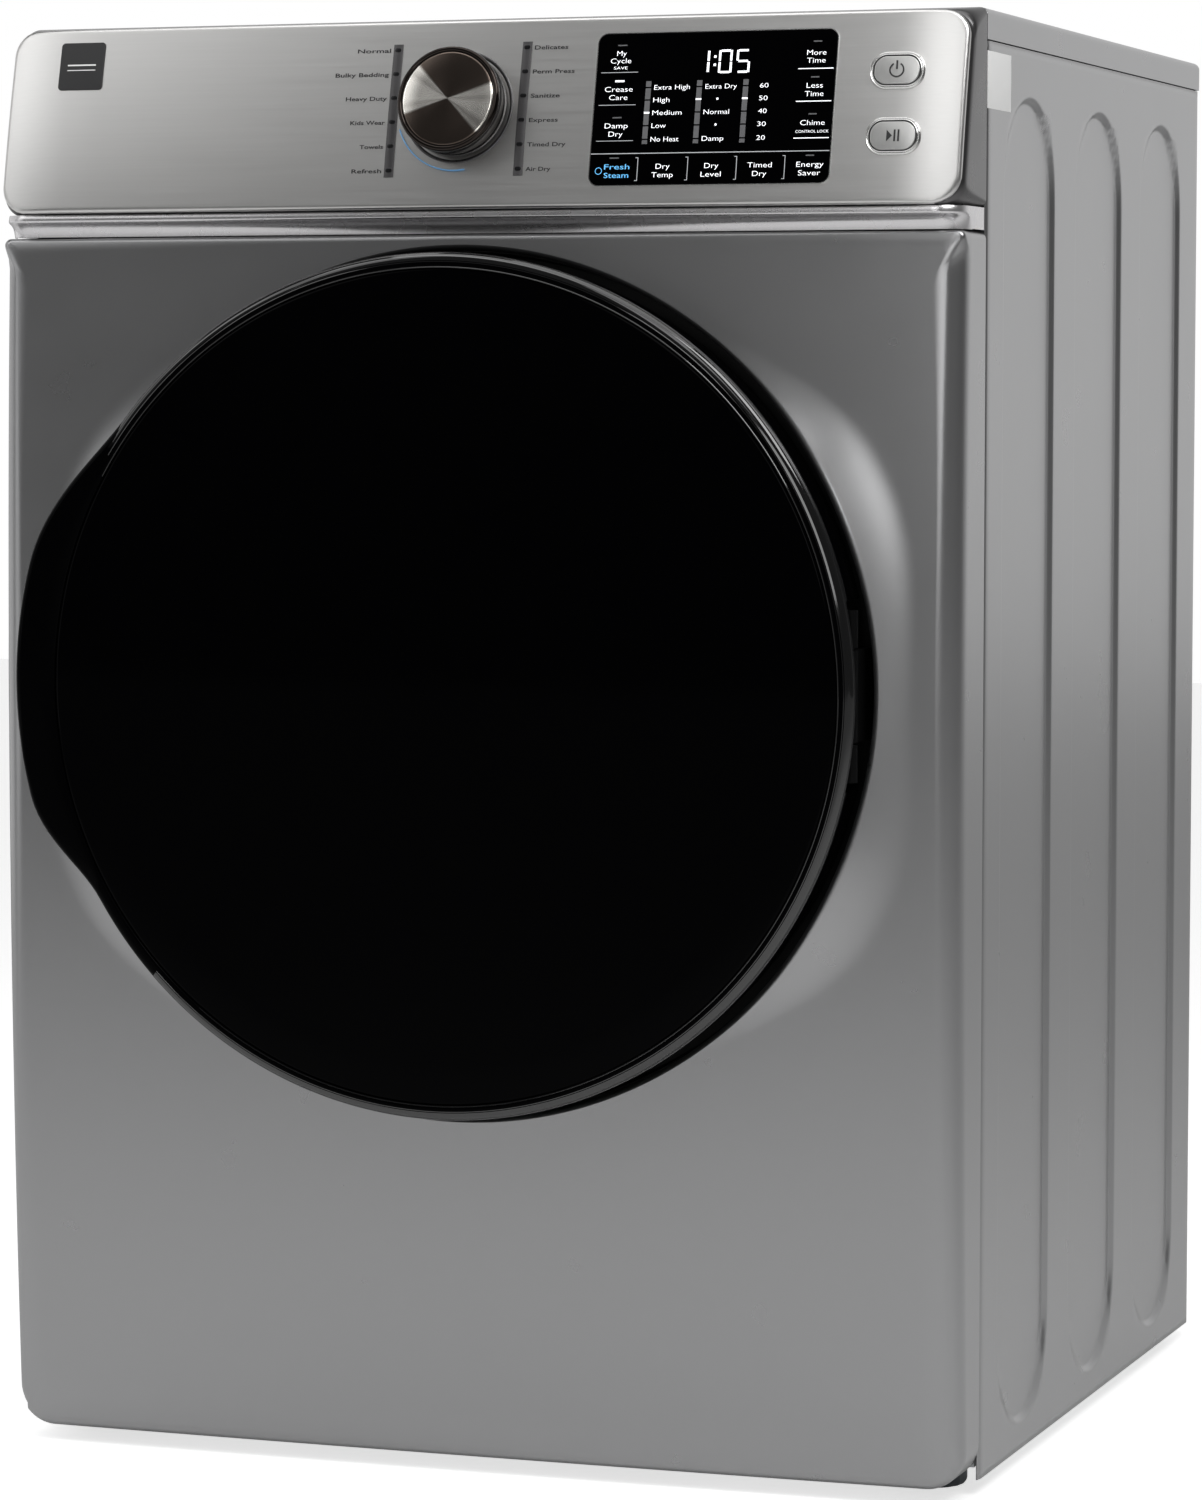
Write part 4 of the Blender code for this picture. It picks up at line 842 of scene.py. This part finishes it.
def keys():
    for name, s, body in (("power", KEY_S[0], "power_key"), ("start", KEY_S[1], "start_key")):
        rings = []
        shape = ((0.0, -0.0004, 0.0118), (0.0002, 0.0006, 0.0116), (0.0006, 0.0013, 0.0113), (0.0011, 0.0016, 0.0108),
                 (0.0015, 0.0013, 0.0104), (0.0017, 0.0012, 0.0102), (0.0020, 0.0016, 0.0100), (0.0024, 0.0018, 0.0096),
                 (0.0027, 0.0014, 0.0093), (0.00275, -0.0010, 0.0092))
        for inset, h, r in shape:
            pts = rounded(KEY_X, s, 0.0374 - 2 * inset, 0.0256 - 2 * inset, r, 12)
            rings.append([on_face(x, t, h) for x, t in pts])
        rings.append([on_face(x, t, -0.0010) for x, t in rounded(KEY_X, s, 0.0372, 0.0254, 0.0117, 12)])
        verts, faces = strips(rings, loop=True)
        piece(name + "_bezel_ring", verts, faces, CHROME, replaces=(name + "_button_bezel",), sharp=60.0)
        # black well under the key and black walls in the gap round it: painted shade
        pillow(name + "_shade_well", KEY_X, s, 0.0326, 0.0210, 0.0096, -0.0052, -0.0046, 0.0002, SHADE_BLACK, steps=8)
        rings = []
        for inset, h in ((0.0, -0.0040), (0.0, 0.0013), (0.0004, 0.0014), (0.0010, 0.0013), (0.0010, -0.0040)):
            rings.append([on_face(x, t, h) for x, t in rounded(KEY_X, s, 0.0328 - 2 * inset, 0.0212 - 2 * inset,
                                                               0.0097 - inset, 12)])
        verts, faces = strips(rings, loop=True)
        piece(name + "_shade_gap", verts, faces, SHADE_BLACK, sharp=40.0)
        pillow(name + "_cap", KEY_X, s, 0.0304, 0.0188, 0.0084, -0.0020, 0.0017, 0.0007, KEY, body=body,
               slot="grey_plastic", replaces=(name + "_button",), steps=12)
    verts = []
    faces = []
    def slab(pts):
        n = len(verts)
        m = len(pts)
        for z in (0.0, 0.0002):
            verts.extend([(x, y, z) for x, y in pts])
        faces.append(tuple(range(n, n + m)))
        faces.append(tuple(range(n + m, n + 2 * m)))
        for i in range(m):
            faces.append((n + i, n + (i + 1) % m, n + m + (i + 1) % m, n + m + i))
    for k in range(48):
        a, b = [radians(90 + 30 + 300 * (k + d) / 48.0) for d in (0, 1)]
        slab([(r * cos(t), r * sin(t)) for r, t in ((0.0041, a), (0.0051, a), (0.0051, b), (0.0041, b))])
    slab([(-0.0006, 0.0004), (0.0006, 0.0004), (0.0006, 0.0063), (-0.0006, 0.0063)])
    piece("power_symbol", verts, faces, INK, body="power_key", smooth=False, pose=key_pose(KEY_S[0]))
    verts = []
    faces = []
    slab([(-0.0040, -0.0038), (-0.0003, 0.0), (-0.0040, 0.0038)])
    slab([(0.0008, -0.0039), (0.0020, -0.0039), (0.0020, 0.0039), (0.0008, 0.0039)])
    slab([(0.0034, -0.0039), (0.0046, -0.0039), (0.0046, 0.0039), (0.0034, 0.0039)])
    piece("start_symbol", verts, faces, INK, body="start_key", smooth=False, pose=key_pose(KEY_S[1]))


def badge():
    pillow("badge_tile", -0.2866, 0.1008, 0.0330, 0.0335, 0.0026, 0.0000, 0.0008, 0.0003, INK, slot="dark_plastic",
           replaces=("badge_plate",), steps=6)
    patches("badge_bar", [(-297.0, -276.0, 101.0, 102.0), (-297.0, -276.0, 97.6, 98.2)], 0.0007, 0.00098, LABEL)


# ---- door ---------------------------------------------------------------------------
def rim_radius(angle):
    off = (math.degrees(angle) + 180.0) % 360.0 - 180.0
    off = 180.0 - abs(off) if off > 0.0 else abs(off) - 180.0
    t = (39.0 - off) / 24.0 if off > 0.0 else (31.0 + off) / 16.0
    t = min(max(t, 0.0), 1.0)
    return RIM_R + EAR * t * t * (3.0 - 2.0 * t)


def door():
    count = 288
    rings = None
    for i in range(count):
        a = tau * i / count
        r = rim_radius(a)
        wide = r - GLASS_R
        section = [(GLASS_R + 0.0003, -0.0960), (GLASS_R + 0.0003, -0.0978), (GLASS_R + 0.0007, -0.0984),
                   (GLASS_R + 0.0016, -0.0986), (GLASS_R + wide * 0.5, -0.0984)]
        for t in quarter(8):
            section.append((r - 0.0055 + 0.0055 * sin(t), -0.0980 + 0.0052 * (1.0 - cos(t))))
        section += [(r - 0.0004, -0.0850), (r - 0.0014, -0.0700), (r - 0.0030, -0.0685), (0.2840, -0.0672),
                    (0.2833, -0.0655), (0.2828, -0.0415), (0.2815, -0.0400), (0.2700, -0.0400), (0.2700, -0.0930),
                    (GLASS_R + 0.0003, -0.0930)]
        if rings is None:
            rings = [[] for _ in section]
        for k, (rr, y) in enumerate(section):
            rings[k].append(at(DOOR_X + rr * cos(a), y, DOOR_Z + rr * sin(a)))
    verts, faces = strips(rings, loop=True)
    rim = piece("rim_shell", verts, faces, GLOSS, body="door", replaces=("door_rim",), sharp=40.0)
    notch = rbox("tool_n", at(0.2540, -0.0918, DOOR_Z - 0.062), at(0.3000, -0.0300, DOOR_Z + 0.062), 0.001, GLOSS,
                 body=None)
    cut(rim, [notch])
    pose = along_y(DOOR_X, 0.0, DOOR_Z)
    glass = [(0, -0.0936), (GLASS_R - 0.0004, -0.0936), (GLASS_R - 0.0004, -0.0974), (GLASS_R - 0.0010, -0.0980),
             (GLASS_R - 0.0026, -0.0982)]
    for k in range(1, 13):
        share = 1.0 - k / 12.0
        glass.append(((GLASS_R - 0.0026) * share, -0.0982 - 0.0018 * (1.0 - share * share)))
    turned("door_pane", glass, count, pose, DOOR_GLASS, body="door", replaces=("door_glass",),
           sharp=40.0)
    accent = [(GLASS_R + 0.0002, -0.0970), (GLASS_R + 0.0012, -0.0970), (GLASS_R + 0.0012, -0.0985),
              (GLASS_R + 0.0009, -0.0988), (GLASS_R + 0.0004, -0.0987), (GLASS_R + 0.0002, -0.0982)]
    arc("door_accent", accent, -150.0, 128.0, 260, pose, ROLL, body="door")
    roll = [(0.2815, -0.0975), (0.2822, -0.0986)]
    for t in quarter(8):
        roll.append((0.28345 + 0.0052 * sin(t), -0.0982 + 0.0056 * (1.0 - cos(t))))
    roll += [(0.2880, -0.0920), (0.2815, -0.0930)]
    arc("rim_roll", roll, -147.0, 136.0, 260, pose, ROLL, body="door")
    turned("bowl_window", [(0.1847, -0.0450), (0.1847, -0.0200), (0.1830, -0.0120), (0.1780, -0.0050),
                           (0.1700, -0.0012), (0.1500, 0.0), (0, 0.0), (0, -0.0030), (0.1480, -0.0030),
                           (0.1690, -0.0042), (0.1765, -0.0080), (0.1803, -0.0140), (0.1815, -0.0210),
                           (0.1815, -0.0450)], 144, pose, CLEAR, body="door",
           replaces=("door_bowl",), sharp=50.0)


def side_label():
    rbox("side_label", at(HALF_W - 0.0004, 0.0010, 0.9185), at(HALF_W + 0.0002, 0.0600, 0.9560), 0.0001, LABEL)


# ---- rear and small hardware --------------------------------------------------------
def screw(name, pos, size=0.0042):
    """Cross-recess pan head screw that faces the rear."""
    pose = Matrix.Translation(pos) @ Vector((0, 1, 0)).to_track_quat("Z", "Y").to_matrix().to_4x4()
    turn = [tau * i / 24 for i in range(24)]
    rings = [[(r * cos(a), r * sin(a), h) for a in turn]
             for r, h in ((size, -0.0010), (size, 0.0004), (size * 0.92, 0.0012), (size * 0.7, 0.0019),
                          (size * 0.42, 0.0022))]
    inner = []
    for a in turn:
        r = size * (0.40 if abs(cos(2.0 * a)) > 0.72 else 0.16)
        inner.append((r * cos(a), r * sin(a), 0.0022))
    rings += [inner, [(x * 0.8, y * 0.8, 0.0008) for x, y, _ in inner]]
    verts, faces = strips(rings, ends="cap")
    piece(name, verts, faces, SCREW, pose=pose, sharp=35.0)


def rear():
    spots = [(x, z) for x in (-0.325, 0.325) for z in (0.05, 0.28, 0.51, 0.74, 0.94)]
    spots += [(x, 0.950) for x in (-0.20, 0.0, 0.20)]
    for k, (x, z) in enumerate(spots):
        screw("rear_screw_%d" % (k + 1), at(x, BACK - 0.0030 + 0.0002, z))
    # cover over the mains terminals
    rbox("terminal_lid", at(0.170, 0.6168, 0.640), at(0.270, 0.6300, 0.760), 0.004, PAINT,
         replaces=("terminal_cover",))
    for i, (x, z) in enumerate(((0.182, 0.750), (0.258, 0.750))):
        screw("terminal_screw_%d" % (i + 1), at(x, 0.6302, z), 0.0036)
    verts = []
    faces = []
    for row in range(9):
        for col in range(2):
            x0 = -0.270 + col * 0.060
            z0 = 0.760 + row * 0.014
            n = len(verts)
            for y0, z in ((0.6168, z0), (0.6168, z0 + 0.0070), (0.6192, z0 + 0.0010)):
                verts += [at(x0, y0, z), at(x0 + 0.050, y0, z)]
            faces += [(n, n + 1, n + 3, n + 2), (n + 2, n + 3, n + 5, n + 4), (n + 4, n + 5, n + 1, n),
                      (n, n + 2, n + 4), (n + 1, n + 5, n + 3)]
    piece("rear_louvres", verts, faces, PAINT, smooth=False)


def hardware():
    """Finishes of the CAD nodes that stay visible."""
    finishes = ((ZINC, "base_pan front_bulkhead rear_bulkhead rear_air_duct heater_box exhaust_pipe blower_housing "
                       "motor_bracket idler_arm"),
                (SCREW, "motor_rotor rear_roller_left_shaft rear_roller_right_shaft door_latch_hook"),
                # hinge parts in near-black: painted shade in the gap at the hinge side of the door
                (HINGE_SHADE_BLACK, "hinge_bracket hinge_arm"),
                (DRUM, "drum drum_baffle_1 drum_baffle_2 drum_baffle_3"),
                (PAINT, "rear_panel"), (BOARD, "control_board"), (CAST, "motor"),
                (PLASTIC, "door_liner door_strike board_tray idler_pulley"),
                (RUBBER, "door_gasket drive_belt rear_roller_left rear_roller_right"),
                (FELT, "drum_front_seal drum_rear_seal"), (WHITE, "lint_duct lint_filter blower_wheel"),
                (SLATE, "foot_front_left foot_front_right foot_rear_left foot_rear_right"))
    for mat, names in finishes:
        for name in names.split():
            NODES[name].data.materials.clear()
            NODES[name].data.materials.append(mat)


def stage():
    mat = surface("floor_pale", (0.86, 0.86, 0.86), rough=0.6, vary=0.01, rough_vary=0.02)
    rays = add(mat.node_tree, "LightPath", {})
    lift = add(mat.node_tree, "Math", {0: rays.outputs["Is Camera Ray"], 1: 0.55, 2: 0.12}, operation="MULTIPLY_ADD")
    refine(mat, {"Emission Color": (1.0, 1.0, 1.0, 1.0), "Emission Strength": lift.outputs[0]})
    mesh = bpy.data.meshes.new("floor")
    mesh.from_pydata([(-9, -9, 0), (9, -9, 0), (9, 9, 0), (-9, 9, 0)], [], [(0, 1, 2, 3)])
    floor = bpy.data.objects.new("floor", mesh)
    bpy.context.scene.collection.objects.link(floor)
    mesh.materials.append(mat)


def light(name, azimuth, rise, far, width, height, glow, target=(0.0, -0.27, 0.55)):
    """Softbox at an azimuth (0 in front, 90 to the right) and rise in degrees; glow is its radiance."""
    data = bpy.data.lights.new(name, "AREA")
    data.shape = "RECTANGLE"
    data.size = width
    data.size_y = height
    data.energy = glow * pi * width * height
    a, e = radians(azimuth), radians(rise)
    away = Vector((sin(a) * cos(e), -cos(a) * cos(e), sin(e)))
    ob = bpy.data.objects.new(name, data)
    ob.location = Vector(target) + away * far
    ob.rotation_euler = away.to_track_quat("Z", "Y").to_euler()
    bpy.context.scene.collection.objects.link(ob)


def studio():
    bpy.context.scene.view_settings.view_transform = "Standard"
    world = bpy.data.worlds.new("studio")
    bpy.context.scene.world = world
    world.use_nodes = True
    tree = world.node_tree
    # pale behind the object, darker in front of it; the camera itself sees plain white
    parts = add(tree, "SeparateXYZ", {"Vector": add(tree, "TexCoord", {}).outputs["Generated"]})
    span = add(tree, "MapRange", {"From Min": 0.30, "From Max": 1.0, "To Min": 0.09, "To Max": 0.80,
                                  "Value": parts.outputs["Y"]}, interpolation_type="SMOOTHSTEP")
    rays = add(tree, "LightPath", {})
    pick = add(tree, "Mix", {"Factor": rays.outputs["Is Camera Ray"], "A": span.outputs["Result"], "B": 1.0},
               data_type="FLOAT")
    feed(tree, tree.nodes["Background"], {"Color": (1.0, 1.0, 1.0, 1.0), "Strength": pick.outputs["Result"]})
    light("left_box", -98.0, 14.0, 2.6, 2.2, 2.2, 0.65)
    light("front_left_box", -58.0, 16.0, 2.6, 0.8, 2.2, 0.8)
    light("console_left_box", -46.0, 34.0, 1.75, 0.9, 1.0, 1.1, target=(-0.15, -0.33, 0.93))
    light("console_right_box", 10.0, 29.5, 1.75, 0.60, 0.80, 1.9, target=(0.02, -0.33, 0.92))
    light("collar_box", 4.0, 8.0, 2.3, 0.55, 0.55, 2.6, target=(0.18, -0.33, 0.66))
    light("right_high_box", 62.0, 48.0, 2.3, 1.1, 1.1, 5.2)
    light("front_top_box", -18.0, 64.0, 2.4, 2.6, 0.5, 2.0)
    light("top_box", 0.0, 88.0, 2.3, 2.2, 1.6, 1.5)


def camera():
    focal = 5121.4
    yaw, pitch, roll = 0.33916, 0.07079, 0.00087
    place = (1.2256, -3.2587 + SEAM, 0.7365)
    fwd = Vector((-sin(yaw) * cos(pitch), cos(yaw) * cos(pitch), -sin(pitch)))
    right = Vector((cos(yaw), sin(yaw), 0.0))
    up = right.cross(fwd)
    r2 = right * cos(roll) + up * sin(roll)
    u2 = -right * sin(roll) + up * cos(roll)
    rot = Matrix((r2, u2, -fwd)).transposed()
    data = bpy.data.cameras.new("camera")
    data.sensor_width = 36.0
    data.lens = 36.0 * focal / 1500.0
    ob = bpy.data.objects.new("camera", data)
    ob.matrix_world = Matrix.Translation(place) @ rot.to_4x4()
    bpy.context.scene.collection.objects.link(ob)
    bpy.context.scene.camera = ob


front_panel()
side_panel("side_skin_left", -1.0, "left_side_panel")
side_panel("side_skin_right", 1.0, "right_side_panel")
worktop()
console()
display()
light_bars()
knob()
keys()
badge()
side_label()
door()
rear()
hardware()
stage()
studio()
camera()
